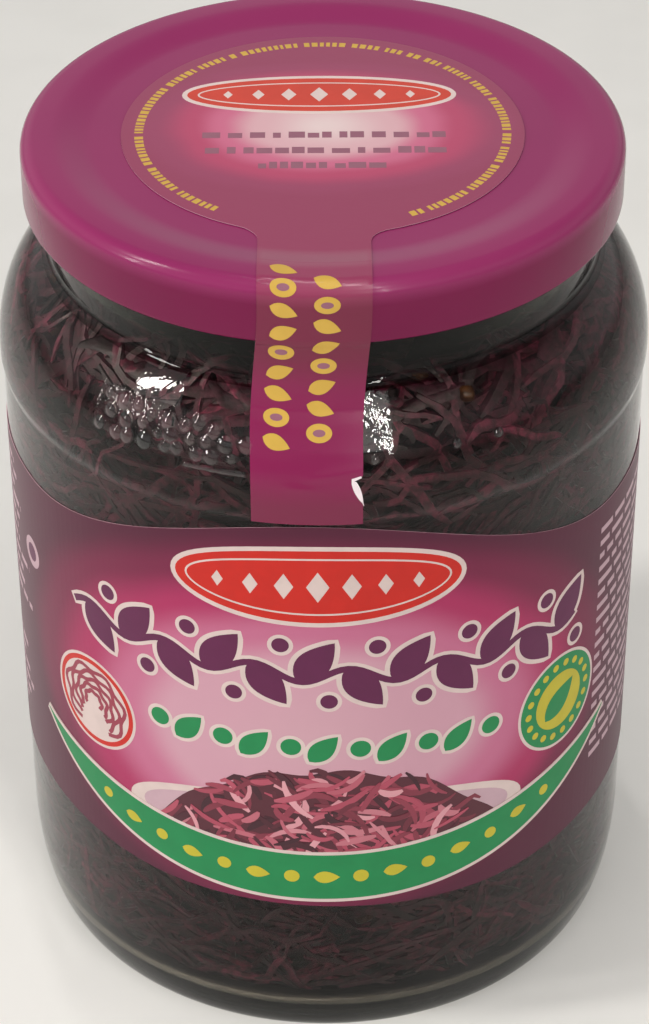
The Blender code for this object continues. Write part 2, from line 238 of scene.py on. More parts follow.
def mix_colours(tree, factor, first, second, blend="MIX"):
    """Mixes two colours, each a socket or a fixed colour."""
    mix = tree.nodes.new("ShaderNodeMix")
    mix.data_type = "RGBA"
    mix.blend_type = blend
    for value, socket in ((factor, mix.inputs[0]), (first, mix.inputs[6]), (second, mix.inputs[7])):
        if isinstance(value, bpy.types.NodeSocket):
            tree.links.new(value, socket)
        else:
            socket.default_value = value
    return mix.outputs[2]


# %% [markdown]
# ## Camera, floor and light
# The camera looks down at the front of the jar at about 36 degrees from half a metre away, a
# little turned, with a long lens. The floor is plain and pale. Gloss shows what stands opposite,
# so the lights are chosen for what the glass and the lacquer mirror: a broad soft lamp above the
# front, four narrow ones over each other that make the bright patch right of the strip, two on
# the left that the raised drops catch, and a surround that is palest a little above the horizon.

# %% Camera
CAMERA_ELEVATION = 35.95
CAMERA_DISTANCE = 486.49 * MM
CAMERA_AIM = Vector((-0.02 * MM, 0.0, 65.72 * MM))
CAMERA_ROLL = -0.28
CAMERA_LENS = 111.33
camera_data = bpy.data.cameras.new("camera")
camera_data.lens = CAMERA_LENS
camera_data.clip_start = 10.0 * MM
camera = bpy.data.objects.new("camera", camera_data)
bpy.context.scene.collection.objects.link(camera)
rise = math.radians(CAMERA_ELEVATION)
camera_place = CAMERA_AIM + CAMERA_DISTANCE * Vector((0.0, -math.cos(rise), math.sin(rise)))
facing = Euler((math.radians(90.0 - CAMERA_ELEVATION), 0.0, 0.0)).to_matrix().to_4x4()
roll = Matrix.Rotation(math.radians(CAMERA_ROLL), 4, "Z")
camera.matrix_world = Matrix.Translation(camera_place) @ facing @ roll
bpy.context.scene.camera = camera
print("camera stands at", [round(value, 3) for value in camera_place])

# %% Floor
floor_material, floor_tree, floor_shader = new_material("pale_floor", 0.7, 0.2)
floor_tone = add_noise(floor_tree, 40.0)
floor_colour = add_ramp(floor_tree, floor_tone, [(0.3, paint("f4f3f0")), (0.7, paint("f7f6f3"))])
floor_tree.links.new(floor_colour, floor_shader.inputs["Base Color"])
floor_bm = bmesh.new()
bmesh.ops.create_grid(floor_bm, x_segments=8, y_segments=8, size=2.5)
bmesh.ops.translate(floor_bm, verts=floor_bm.verts, vec=(0.0, 0.0, -0.05 * MM))
floor_mesh = bpy.data.meshes.new("floor")
floor_bm.to_mesh(floor_mesh)
floor_bm.free()
floor_mesh.materials.append(floor_material)
floor = bpy.data.objects.new("floor", floor_mesh)
bpy.context.scene.collection.objects.link(floor)
print("the floor is", round(floor.dimensions.x, 1), "m wide")

# %% Lamps and surround
WARM = (1.0, 0.97, 0.93)


def add_lamp(name, azimuth, elevation, distance, size, power):
    """An oval lamp that faces the jar. Azimuth is counted from the front towards +X."""
    data = bpy.data.lights.new(name, "AREA")
    data.shape = "ELLIPSE"
    data.size, data.size_y = size
    data.energy = power
    data.color = WARM
    lamp = bpy.data.objects.new(name, data)
    bpy.context.scene.collection.objects.link(lamp)
    up = math.radians(elevation)
    place = on_wall(distance * math.cos(up), azimuth, distance * math.sin(up))
    turn = place.to_track_quat("Z", "Y").to_matrix().to_4x4()
    lamp.matrix_world = Matrix.Translation(place) @ turn


add_lamp("broad_lamp", -8.0, 62.0, 1.2, (0.9, 1.0), 1.5)
for level, elevation in enumerate((22.0, 46.0, 72.0, 98.0)):
    add_lamp(f"narrow_lamp_{level}", 21.0, elevation, 1.0, (0.032, 0.36), 0.95)
add_lamp("left_lamp", -74.0, 47.0, 0.9, (0.09, 0.26), 2.0)
add_lamp("left_low_lamp", -70.0, 22.0, 0.9, (0.06, 0.3), 1.2)

# %% Surround
# Brightness at a share of the way from the horizon up to the zenith
ROOM_STOPS = [(0.0, 0.3), (0.14, 0.72), (0.42, 0.72), (0.56, 0.42), (0.72, 0.2), (1.0, 0.18)]
ROOM_TINT = (1.0, 0.985, 0.965)
world = bpy.data.worlds.new("pale_room")
bpy.context.scene.world = world
world.use_nodes = True
room_tree = world.node_tree
room_place = room_tree.nodes.new("ShaderNodeTexCoord")
room_split = room_tree.nodes.new("ShaderNodeSeparateXYZ")
room_tree.links.new(room_place.outputs["Generated"], room_split.inputs[0])
room_colour = add_ramp(room_tree, room_split.outputs[2], [
    (height, (*[bright * value for value in ROOM_TINT], 1.0)) for height, bright in ROOM_STOPS])
room_tree.links.new(room_colour, room_tree.nodes["Background"].inputs["Color"])
bpy.context.scene.view_settings.view_transform = "Standard"
print("the surround has", len(ROOM_STOPS), "levels of brightness")

# %% [markdown]
# ## Glass
# A pressed jar has a wall of about 3 mm, a hollow foot, a heel that curves up into the straight
# wall, a narrow ring at the foot of the shoulder where jars touch each other on the line, a
# domed shoulder, and a neck that vanishes into the lid. Its outline goes up the inner side, over
# the rim and down the outer side. The arcs are the same as in the solid, only much finer.

# %% Sizes of the glass
PUSH_UP = 3.0 * MM
FLOOR_MIDDLE = 6.0 * MM
FLOOR_EDGE = 3.3 * MM
HEEL_WIDTH = 7.0 * MM
HEEL_INSIDE = 8.5 * MM
DOME_CENTRE = 36.0 * MM
NECK_FILLET = 2.0 * MM
HEEL_CENTRE_RADIUS = 43.6 * MM
HEEL_HEIGHT = 16.0 * MM
CONTACT_LOW = 97.6 * MM
CONTACT_HIGH = 99.7 * MM
DOME_ROWS = 58
# How far the thread stands out of the neck, and how far below the rim, in mm
THREAD_RING = ((0.0, 3.4), (1.0, 4.3), (1.0, 5.6), (0.0, 6.5))
print("wall", round(WALL / MM, 1), "mm thick, heel", round(HEEL_HEIGHT / MM, 1), "mm high")

# %% Dome and inner wall
def dome_point(angle, offset=0.0):
    """A point on the outer dome and its outward normal, moved outwards by an offset."""
    turn = math.radians(angle)
    radius = CONTACT_RADIUS - DOME_CENTRE
    normal = Vector((SHOULDER_RISE * math.cos(turn), radius * math.sin(turn))).normalized()
    height = SHOULDER_LOW + SHOULDER_RISE * math.sin(turn)
    return Vector((DOME_CENTRE + radius * math.cos(turn), height)) + offset * normal, normal


def dome_end_angle():
    """Angle at which the dome meets the round at the foot of the neck, found by halving."""
    low, high = 30.0, 89.0
    for _ in range(40):
        middle = 0.5 * (low + high)
        point, normal = dome_point(middle)
        if point.x + NECK_FILLET * (normal.x - 1.0) > NECK_RADIUS:
            low = middle
        else:
            high = middle
    return low


def inner_wall(offset=0.0):
    """The inner side of the glass from the floor to the neck, moved into the wall by an offset."""
    inner_radius = BODY_RADIUS - WALL
    neck_inner = NECK_RADIUS - WALL
    heel_centre = (inner_radius - HEEL_WIDTH, FLOOR_EDGE + HEEL_INSIDE)
    heel = arc(heel_centre, (HEEL_WIDTH + offset, HEEL_INSIDE + offset), -90.0, 0.0, 16)
    dome_centre = (neck_inner - 0.4 * MM, SHOULDER_LOW)
    dome_radii = (inner_radius - dome_centre[0] + offset, SHOULDER_RISE - WALL + offset)
    return heel + arc(dome_centre, dome_radii, 0.0, 84.0, 22)


print("the dome meets the neck's round at", round(dome_end_angle(), 1), "degrees")

# %% Outline of the glass
def glass_profile():
    """The whole outline, from the floor of the jar up over the rim and down to its foot."""
    rim_round = 0.5 * WALL
    rim = arc((NECK_RADIUS - rim_round, RIM_TOP - rim_round), (rim_round, rim_round), 180.0, 0.0, 13)
    thread = [(NECK_RADIUS + stand * MM, RIM_TOP - drop * MM) for stand, drop in THREAD_RING]
    end = dome_end_angle()
    point, normal = dome_point(end)
    centre = point + NECK_FILLET * normal
    start = math.degrees(math.atan2(-normal.y, -normal.x))
    fillet = arc(centre, (NECK_FILLET, NECK_FILLET), -180.0, start, 12)
    dome = [tuple(dome_point(angle)[0]) for angle in np.linspace(end, 0.0, DOME_ROWS)[1:]]
    contact = []
    for share in np.linspace(1.0, 0.0, 9):
        stand = smooth_step(0.0, 1.0, share) * (CONTACT_RADIUS - BODY_RADIUS)
        contact.append((BODY_RADIUS + stand, CONTACT_LOW + share * (CONTACT_HIGH - CONTACT_LOW)))
    heel_radii = (BODY_RADIUS - HEEL_CENTRE_RADIUS, HEEL_HEIGHT)
    heel = arc((HEEL_CENTRE_RADIUS, HEEL_HEIGHT), heel_radii, 0.0, -90.0, 24)
    base = [(38.0 * MM, 0.0), (36.6 * MM, 0.7 * MM), (35.0 * MM, 0.6 * PUSH_UP),
            (18.0 * MM, 0.88 * PUSH_UP), (0.0, PUSH_UP)]
    outer = thread + fillet + dome + contact + heel + base
    return [(0.0, FLOOR_MIDDLE)] + inner_wall() + rim + outer


print("the glass outline has", len(glass_profile()), "points")

# %% [markdown]
# The shoulder carries low raised marks pressed into the glass. They are what catches the light
# under the lid on the left. Here they are a plain ornament: rows of uneven drops over a fine
# line, and three single drops on the right. A bump map would not bend the outline of a highlight
# well, so the faces in that band are subdivided and the vertices really lifted.

# %% Raised ornament
RELIEF_HEIGHT = 0.34 * MM
DROP_RADIUS = 1.2 * MM
DROP_START = -41.0
DROP_STEP = 3.2
# Each row's height in mm, its shift in steps and its number of drops
DROP_ROWS = ((106.7, 0.0, 9), (108.6, 0.5, 9), (110.5, 0.0, 8))
# Each single drop's angle in degrees and height in mm
SINGLE_DROPS = ((8.4, 107.6), (22.8, 108.0), (30.7, 107.8))
LINE_HEIGHT = 105.2 * MM
LINE_RADIUS = 0.4 * MM
LINE_ENDS = (-24.0, -13.0)


def ornament():
    """The drops as (angle, height, radius)."""
    draw = random.Random(3)
    marks = []
    for height, shift, count in DROP_ROWS:
        for index in range(count):
            angle = DROP_START + (index + shift) * DROP_STEP + draw.uniform(-0.7, 0.7)
            size = DROP_RADIUS * draw.uniform(0.55, 1.05)
            marks.append((angle, (height + draw.uniform(-0.5, 0.5)) * MM, size))
    for angle, height in SINGLE_DROPS:
        marks.append((angle, height * MM, 0.6 * DROP_RADIUS))
    return marks


print(len(ornament()), "marks")

# %% Lift the marks out of the glass
GLASS_STEPS = 300
BAND_LOW = 104.2 * MM
BAND_HIGH = 111.9 * MM
BAND_SPANS = ((-45.0, -9.0), (6.0, 34.0))
BAND_REACH = NECK_RADIUS + 2.5 * MM


def turn_and_reach(place):
    """Angle round the jar, in degrees from the front, and distance from the axis."""
    return math.degrees(math.atan2(place.x, -place.y)), math.hypot(place.x, place.y)


def relief(angle, height, marks):
    """How far the glass stands out at a place on the shoulder."""
    lift = 0.0
    for mark_angle, mark_height, size in marks:
        across = math.radians(angle - mark_angle) * BODY_RADIUS
        distance = math.hypot(across, height - mark_height)
        if distance < size:
            lift = max(lift, (1.0 - (distance / size) ** 2) * (size / DROP_RADIUS) ** 0.5)
    if LINE_ENDS[0] < angle < LINE_ENDS[1]:
        share = abs(height - LINE_HEIGHT) / LINE_RADIUS
        lift = max(lift, 0.5 * (1.0 - min(share, 1.0) ** 2))
    return lift * RELIEF_HEIGHT


def in_band(place):
    """Whether a point lies on the outer side of the shoulder, where the marks are."""
    angle, radius = turn_and_reach(place)
    near_marks = any(start < angle < end for start, end in BAND_SPANS)
    return near_marks and BAND_LOW < place.z < BAND_HIGH and radius > BAND_REACH


glass_bm = turned(glass_profile(), GLASS_STEPS)
band = [edge for edge in glass_bm.edges if all(in_band(vert.co) for vert in edge.verts)]
bmesh.ops.subdivide_edges(glass_bm, edges=band, cuts=3, use_grid_fill=True)
glass_bm.normal_update()
marks = ornament()
lifted = set()
for vert in glass_bm.verts:
    if in_band(vert.co):
        lift = relief(turn_and_reach(vert.co)[0], vert.co.z, marks)
        if lift > 0.0:
            vert.co += vert.normal * lift
            lifted.add(vert)
print("the marks lift", len(lifted), "vertices")

# %% [markdown]
# Clear glass needs transmission, a smooth surface and the right IOR. A faint grey-green tint and
# a very low, wide bump give the uneven look of a pressed jar. Where juice wets the glass hardly
# anything is mirrored, because the two bend light alike, so the inner side has a material of its
# own with next to no mirror. The foot and the neck have a deeper tint. It is partly the colour of
# the centimetres of glass that one looks along there, and partly painted shade: under the foot it
# is a painted shadow of the jar on the floor seen through the glass, and at the neck it is painted
# shade under the lid. The raised marks are fire-polished and mirror most. In two patches, and more
# faintly among the drops, the mould left the shoulder rough, and there the lamps break up into
# small glints. One material with masks could do all this, but a material for each kind of glass
# is easier to read, and a face simply names the kind it belongs to. Shadows of clear glass would
# be black in a path tracer without long caustic renders, so it casts none.

# %% Kinds of glass
GLASS_TINT = "e6eee4"
# Part glass colour, part painted shadow: the foot's deep tint darkens the floor seen through it, in place
# of the jar's shadow
FOOT_TINT_AND_SHADOW = "56574a"
# Part glass colour, part painted shade: the neck's deep tint also stands for the shade under the lid
NECK_TINT_AND_SHADE = "84887c"
GLASS_IOR = 1.5
POLISH_IOR = 1.7


def new_glass(name, mirror, tint=GLASS_TINT, coat=0.0, grain=0.0):
    """Clear glass. The mirror is the share of its natural gloss that it keeps."""
    material, tree, shader = new_material(name, 0.02)
    shader.inputs["Base Color"].default_value = paint(tint)
    shader.inputs["Transmission Weight"].default_value = 1.0
    shader.inputs["IOR"].default_value = GLASS_IOR
    shader.inputs["Specular Tint"].default_value = (mirror, mirror, mirror, 1.0)
    add_coat(shader, coat, 0.02)
    shader.inputs["Coat IOR"].default_value = POLISH_IOR
    if grain:
        add_bump(tree, shader, add_noise(tree, 1100.0, 2.0), grain, 1.0)
        tree.links.new(shader.inputs["Normal"].links[0].from_socket, shader.inputs["Coat Normal"])
    else:
        add_bump(tree, shader, add_noise(tree, 75.0, 5.0), 0.5 * MM, 0.3)
    return material


GLASS_KINDS = {
    "clear_glass": {"mirror": 0.37},
    "wet_glass": {"mirror": 0.05},
    "foot_glass_and_shadow": {"mirror": 0.3, "tint": FOOT_TINT_AND_SHADOW},
    "neck_glass_and_shade": {"mirror": 0.3, "tint": NECK_TINT_AND_SHADE},
    "polished_glass": {"mirror": 1.0, "coat": 0.4},
    "rough_glass": {"mirror": 1.0, "coat": 1.0, "grain": 0.065 * MM},
    "grained_glass": {"mirror": 0.8, "grain": 0.12 * MM},
}
kind_names = list(GLASS_KINDS)
glass_kinds = [new_glass(name, **values) for name, values in GLASS_KINDS.items()]
print("kinds of glass:", kind_names)

# %% Glass piece
# The kind of glass, the two angles in degrees and the two heights in mm of each patch
ROUGH_PATCHES = (
    ("rough_glass", 5.6, 11.8, 108.6, 116.2),
    ("rough_glass", -35.5, -26.5, 111.8, 116.0),
    ("grained_glass", -43.0, -12.0, 105.9, 111.8),
)
NECK_REACH = NECK_RADIUS + 1.2 * MM


def glass_kind(face):
    """The name of the glass that a face has."""
    middle = face.calc_center_median()
    inwards = face.normal.x * middle.x + face.normal.y * middle.y < 0.0
    on_floor = face.normal.z > 0.5 and middle.z < 0.5 * SHOULDER_LOW
    if middle.z > FLOOR_EDGE and (inwards or on_floor):
        return "wet_glass"
    if middle.z < FLOOR_EDGE:
        return "foot_glass_and_shadow" if face.normal.z < -0.2 else "clear_glass"
    if all(vert in lifted for vert in face.verts):
        return "polished_glass"
    angle, radius = turn_and_reach(middle)
    for name, start, end, low, high in ROUGH_PATCHES:
        if start < angle < end and low * MM < middle.z < high * MM and radius > NECK_REACH:
            return name
    return "neck_glass_and_shade" if middle.z > SHOULDER_LOW and radius < NECK_REACH else "clear_glass"


for face in glass_bm.faces:
    face.material_index = kind_names.index(glass_kind(face))
glass = finish_piece("glass", glass_bm, glass_kinds, "jar_glass")
glass.visible_shadow = False

# %% [markdown]
# ## Juice
# The juice fills everything round the shreds. It reaches a quarter of a millimetre into the
# wall, because a gap of air between liquid and glass would mirror like foil. Its colour comes
# from absorption inside the closed shape, so shreds deeper in the jar sink into the dark.

# %% Juice
JUICE_OVERLAP = 0.25 * MM
JUICE_TOP = 124.0 * MM
juice_wall = inner_wall(JUICE_OVERLAP)
neck_inside = NECK_RADIUS - WALL + JUICE_OVERLAP
juice_side = [point for point in juice_wall if point[0] > neck_inside]
juice_neck = [(neck_inside, SHOULDER_LOW + SHOULDER_RISE), (neck_inside, JUICE_TOP)]
juice_profile = [(0.0, FLOOR_MIDDLE - JUICE_OVERLAP)] + juice_side + juice_neck + [(0.0, JUICE_TOP)]
juice_material, juice_tree, juice_shader = new_material("dark_juice", 0.0)
juice_shader.inputs["Base Color"].default_value = (0.95, 0.86, 0.88, 1.0)
juice_shader.inputs["Transmission Weight"].default_value = 1.0
juice_shader.inputs["IOR"].default_value = 1.34
juice_shader.inputs["Specular Tint"].default_value = (0.0, 0.0, 0.0, 1.0)
absorption = juice_tree.nodes.new("ShaderNodeVolumeAbsorption")
absorption.inputs["Color"].default_value = (0.42, 0.22, 0.25, 1.0)
absorption.inputs["Density"].default_value = 620.0
juice_output = juice_tree.nodes["Material Output"]
juice_tree.links.new(absorption.outputs["Volume"], juice_output.inputs["Volume"])
print("the juice reaches up to", round(JUICE_TOP / MM, 1), "mm")
juice = finish_piece("juice", turned(juice_profile, 180), [juice_material])
juice.visible_shadow = False

# %% [markdown]
# ## Cabbage
# Red cabbage for this jar is cut into shreds of one to two centimetres that lie in every
# direction, pressed flat against the glass. Only the outer few millimetres can be seen through
# the dark juice. So the heap is a turned core with some three and a half thousand shreds round
# it, most of them in the two windows above and below the label. A particle system could scatter
# them too, but it would not bend each one to the wall. Here one shred is cut from a cube, and
# each copy is bent onto the wall with its own length, tilt, curl and depth.

# %% Core of the heap
CORE_DEPTH = 4.2 * MM
CORE_LOW = FLOOR_MIDDLE + 3.0 * MM
CABBAGE_TOP = 117.0 * MM
CORE_STEPS = 96
core_side = [(radius - CORE_DEPTH, max(height, CORE_LOW)) for radius, height in inner_wall()]
core_side = [point for point in core_side if point[1] < CABBAGE_TOP - 2.0 * MM]
core_profile = [(0.0, CORE_LOW)] + core_side + [(0.0, CABBAGE_TOP - 1.0 * MM)]

cabbage_material, cabbage_tree, cabbage_shader = new_material("cabbage", 0.38)
streaks = add_noise(cabbage_tree, 900.0, 2.0)
shred_colour = add_ramp(cabbage_tree, stored_tone(cabbage_tree), [
    (0.0, paint("261218")), (0.35, paint("4a1a2c")), (0.7, paint("6a263e")), (1.0, paint("8a3854"))])
streak_colour = add_ramp(cabbage_tree, streaks, [(0.35, paint("8a7c80")), (0.65, paint("ffffff"))])
cabbage_colour = mix_colours(cabbage_tree, 1.0, shred_colour, streak_colour, "MULTIPLY")
cabbage_tree.links.new(cabbage_colour, cabbage_shader.inputs["Base Color"])
add_bump(cabbage_tree, cabbage_shader, streaks, 0.2 * MM, 0.5)
print("the core's outline has", len(core_profile), "points")

# %% One shred
SHRED_SEGMENTS = 6


def shred_template():
    """A bar of unit size along X, cut into segments, as a mesh that each copy reshapes."""
    bm = bmesh.new()
    bmesh.ops.create_cube(bm, size=1.0)
    along = [edge for edge in bm.edges if abs(edge.verts[0].co.x - edge.verts[1].co.x) > 0.5]
    bmesh.ops.subdivide_edges(bm, edges=along, cuts=SHRED_SEGMENTS - 1)
    mesh = bpy.data.meshes.new("shred_template")
    bm.to_mesh(mesh)
    bm.free()
    return mesh


template = shred_template()
unit = np.empty(len(template.vertices) * 3)
template.vertices.foreach_get("co", unit)
unit = unit.reshape(-1, 3)
print("one shred has", len(template.polygons), "faces")

# %% Bend a shred to the wall
SHRED_GAP = 0.45 * MM
SHRED_LAYER = 3.2 * MM
SHRED_LOW = 8.2 * MM
SHRED_HIGH = 117.4 * MM
SHRED_LENGTHS = (7.0 * MM, 20.0 * MM)
SHRED_WIDTHS = (0.5 * MM, 1.25 * MM)
SHRED_THICKNESSES = (0.5 * MM, 1.0 * MM)
SHRED_TILT = 38.0
UPPER_WINDOW = (86.0 * MM, 115.5 * MM)
LOWER_WINDOW = (8.5 * MM, 34.0 * MM)
BEHIND_LABEL = (34.0 * MM, 86.0 * MM)
GOLDEN_ANGLE = 137.508
wall_points = inner_wall() + [(NECK_RADIUS - WALL, JUICE_TOP)]
wall_heights = np.array([height for _, height in wall_points])
wall_radii = np.array([radius for radius, _ in wall_points])


def shred_height(index, draw):
    """Most shreds lie in the two windows, the rest behind the label."""
    pick = index % 10
    if pick < 5:
        return draw.uniform(*UPPER_WINDOW)
    if pick < 9:
        return draw.uniform(*LOWER_WINDOW)
    return draw.uniform(*BEHIND_LABEL)


def bent_shred(index, draw):
    """Places of one shred's vertices, bent along the inner wall."""
    length = draw.uniform(*SHRED_LENGTHS)
    width = draw.uniform(*SHRED_WIDTHS)
    thickness = draw.uniform(*SHRED_THICKNESSES)
    middle = shred_height(index, draw)
    turn = math.radians(index * GOLDEN_ANGLE + draw.uniform(-20.0, 20.0))
    tilt = math.radians(draw.gauss(0.0, SHRED_TILT))
    curl = draw.uniform(-9.0, 9.0)
    wave = draw.uniform(0.0, 0.9) * MM
    phase = draw.uniform(0.0, 6.3)
    depth = SHRED_GAP + draw.random() ** 1.5 * SHRED_LAYER
    dive = draw.uniform(-0.09, 0.09)
    x, y, z = unit[:, 0], unit[:, 1], unit[:, 2]
    taper = 1.0 - 0.6 * np.clip((np.abs(x) - 0.38) / 0.12, 0.0, 1.0)
    along = x * length
    up = z * width * taper + curl * along ** 2 + wave * np.sin(9.0 * x + phase)
    run = along * math.cos(tilt) - up * math.sin(tilt)
    heights = middle + along * math.sin(tilt) + up * math.cos(tilt)
    heights = np.clip(heights, SHRED_LOW, SHRED_HIGH)
    inward = depth + np.maximum(dive * along, -0.8 * depth) + (0.5 - y) * thickness
    radii = np.interp(heights, wall_heights, wall_radii) - inward
    turns = turn + run / radii
    return np.column_stack((radii * np.sin(turns), -radii * np.cos(turns), heights))


print("shreds lie up to", round((SHRED_GAP + SHRED_LAYER) / MM, 2), "mm behind the wall")

# %% Lay the shreds along the glass
SHRED_COUNT = 3400


def add_shred(bm, places, tone):
    """Adds one shred and notes its tone for each of its points."""
    template.vertices.foreach_set("co", places.ravel())
    bm.from_mesh(template)
    tones.extend([min(max(tone, 0.0), 1.0)] * len(unit))


draw = random.Random(11)
heap_bm = turned(core_profile, CORE_STEPS)
for vert in heap_bm.verts:
    swell = math.sin(vert.co.x / (3.1 * MM)) * math.cos(vert.co.y / (2.7 * MM))
    vert.co += vert.normal * swell * math.sin(vert.co.z / (2.3 * MM)) * 0.5 * MM
tones = [0.05] * len(heap_bm.verts)
for index in range(SHRED_COUNT):
    places = bent_shred(index, draw)
    add_shred(heap_bm, places, draw.gauss(0.4, 0.22))
print("shreds along the glass:", SHRED_COUNT)

# %% Loose shreds on top and on the floor
END_COUNT = 130
TOP_LEVEL = 116.6 * MM
LOW_LEVEL = 9.0 * MM
END_REACH = 34.0 * MM


def flat_shred(index, draw):
    """Places of one shred that lies level, on the floor of the jar or on top of the heap."""
    length = draw.uniform(14.0, 32.0) * MM
    width = draw.uniform(1.2, 2.8) * MM
    reach = 30.0 * MM * math.sqrt(draw.random())
    middle = on_wall(reach, index * GOLDEN_ANGLE, 0.0)
    turn = draw.uniform(0.0, math.pi)
    on_top = index % 3 == 0
    level = (TOP_LEVEL if on_top else LOW_LEVEL) + draw.uniform(0.0, 1.2) * MM
    along = unit[:, 0] * length
    across = unit[:, 2] * width + draw.uniform(-9.0, 9.0) * along ** 2
    heights = level + unit[:, 1] * 0.7 * MM + 0.5 * MM * np.sin(7.0 * unit[:, 0])
    places = np.column_stack((middle.x + along * math.cos(turn) - across * math.sin(turn),
                              middle.y + along * math.sin(turn) + across * math.cos(turn), heights))
    radii = np.hypot(places[:, 0], places[:, 1])
    places[:, :2] *= np.minimum(1.0, END_REACH / np.maximum(radii, MM))[:, None]
    return places


for index in range(END_COUNT):
    places = flat_shred(index, draw)
    add_shred(heap_bm, places, draw.gauss(0.42, 0.24))
heap = finish_piece("cabbage_shreds", heap_bm, [cabbage_material], "red_cabbage",
                    crease=50.0)
tone_layer = heap.data.attributes.new("tone", "FLOAT", "POINT")
tone_layer.data.foreach_set("value", tones)

# %% [markdown]
# A few small pieces of apple were cooked with the cabbage. They are the orange-brown specks that
# show through the shoulder. Each is a bevelled cube, stretched by its own three sizes and turned.

# %% Apple pieces
APPLE_COUNT = 26
APPLE_DEPTH = 2.6 * MM
SHOWN_PIECE = 1
SHOWN_PLACE = (28.0, 111.0 * MM)
apple_material, apple_tree, apple_shader = new_material("cooked_apple", 0.35)
apple_colour = add_ramp(apple_tree, add_noise(apple_tree, 500.0), [
    (0.35, paint("30160c")), (0.7, paint("563012"))])
apple_tree.links.new(apple_colour, apple_shader.inputs["Base Color"])
apple_bm = bmesh.new()
for index in range(APPLE_COUNT):
    made = bmesh.ops.create_cube(apple_bm, size=1.0)["verts"]
    edges = list({edge for vert in made for edge in vert.link_edges})
    rounded = bmesh.ops.bevel(apple_bm, geom=edges, offset=0.28, segments=2, profile=0.5,
                              affect="EDGES", material=-1)["verts"]
    size = Vector([draw.uniform(1.6, 4.6) * MM for _ in range(3)])
    height = (draw.uniform(100.0, 113.0) if index % 3 else draw.uniform(10.0, 26.0)) * MM
    radius = float(np.interp(height, wall_heights, wall_radii)) - APPLE_DEPTH
    angle = index * GOLDEN_ANGLE
    if index == SHOWN_PIECE:
        angle, height = SHOWN_PLACE
    place = on_wall(radius, angle, height)
    turn = Euler([draw.uniform(0.0, 3.1) for _ in range(3)]).to_matrix()
    for vert in rounded:
        vert.co = place + turn @ Vector([a * b for a, b in zip(vert.co, size)]) * 0.7
finish_piece("apple_pieces", apple_bm, [apple_material], crease=60.0)

# %% [markdown]
# ## Lid
# A twist-off lid is pressed from thin tinplate: a flat middle a millimetre below the rim, a soft
# slope up to the rim, a round edge, a plain skirt, and a lower edge that is rolled inwards. It is
# one outline again, out along the top and back along the inside. The plum lacquer is painted darker
# on the skirt than on top as painted shade, for the less light that the upright skirt gets, so its
# two tones are mixed by the height on the lid.

# %% Lid
LID_SHEET = 0.5 * MM
LID_EDGE_ROUND = 2.0 * MM
LID_PANEL_DROP = 0.9 * MM
LID_PANEL_RADIUS = 32.5 * MM
LID_SLOPE_RADIUS = 38.6 * MM
LID_CURL = 0.9 * MM
PANEL_HEIGHT = TOTAL_HEIGHT - LID_PANEL_DROP


def lid_top(offset=0.0):
    """The lid's top and edge from its flat middle to the skirt, moved outwards by an offset."""
    points = []
    for share in np.linspace(0.0, 1.0, 14):
        radius = LID_PANEL_RADIUS + share * (LID_SLOPE_RADIUS - LID_PANEL_RADIUS)
        points.append((radius, PANEL_HEIGHT + offset + smooth_step(0.0, 1.0, share) * LID_PANEL_DROP))
    edge = LID_EDGE_ROUND + offset
    centre = (LID_RADIUS - LID_EDGE_ROUND, TOTAL_HEIGHT - LID_EDGE_ROUND)
    return points + arc(centre, (edge, edge), 90.0, 0.0, 12)


curl_height = LID_FOOT + LID_CURL
curl = arc((LID_RADIUS - LID_CURL, curl_height), (LID_CURL, LID_CURL), 0.0, -180.0, 12)
lid_profile = [(radius * MM, PANEL_HEIGHT) for radius in (0.0, 15.0, 29.0)] + lid_top() + curl
lid_profile.append((LID_RADIUS - LID_SHEET, curl_height + LID_CURL))
lid_profile += list(reversed(lid_top(-LID_SHEET))) + [(0.0, PANEL_HEIGHT - LID_SHEET)]

lacquer_material, lacquer_tree, lacquer_shader = new_material("plum_lacquer", 0.24, 0.16)
lacquer_tone = add_noise(lacquer_tree, 25.0, 2.0)
lit_top_lacquer = add_ramp(lacquer_tree, lacquer_tone, [(0.3, paint("8c2a5e")), (0.7, paint("923062"))])
# Painted shade: the skirt tone is darker than the top tone, for the less light that the upright skirt gets
shaded_skirt_lacquer = add_ramp(lacquer_tree, lacquer_tone, [(0.3, paint("6e0b3f")), (0.7, paint("740f43"))])
lit_top_share = add_range(lacquer_tree, object_axes(lacquer_tree)[2],
                           TOTAL_HEIGHT - 3.4 * MM, TOTAL_HEIGHT - 1.2 * MM)
lacquer_colour = mix_colours(lacquer_tree, lit_top_share, shaded_skirt_lacquer, lit_top_lacquer)
lacquer_tree.links.new(lacquer_colour, lacquer_shader.inputs["Base Color"])
add_coat(lacquer_shader, 0.12, 0.1)
add_bump(lacquer_tree, lacquer_shader, add_noise(lacquer_tree, 1600.0, 3.0), 0.02 * MM, 0.35)
finish_piece("lid_shell", turned(lid_profile, 240), [lacquer_material], "lid")

# %% [markdown]
# ## Paper and print
# The label and the seal are flat sheets that were printed, cut and wrapped. They are made in the
# same order here: an outline is drawn flat, its border is inset for the pale cut edge, it gets
# its thickness, planes cut it into narrow facets, and only then is every vertex wrapped onto the
# jar. The print is made of flat shapes too, each a little higher than the one below it, so the
# edges of the colours stay sharp however near the camera comes.

# %% Flat shapes and their wrap
PAPER = 0.08 * MM
SINK = 0.03 * MM


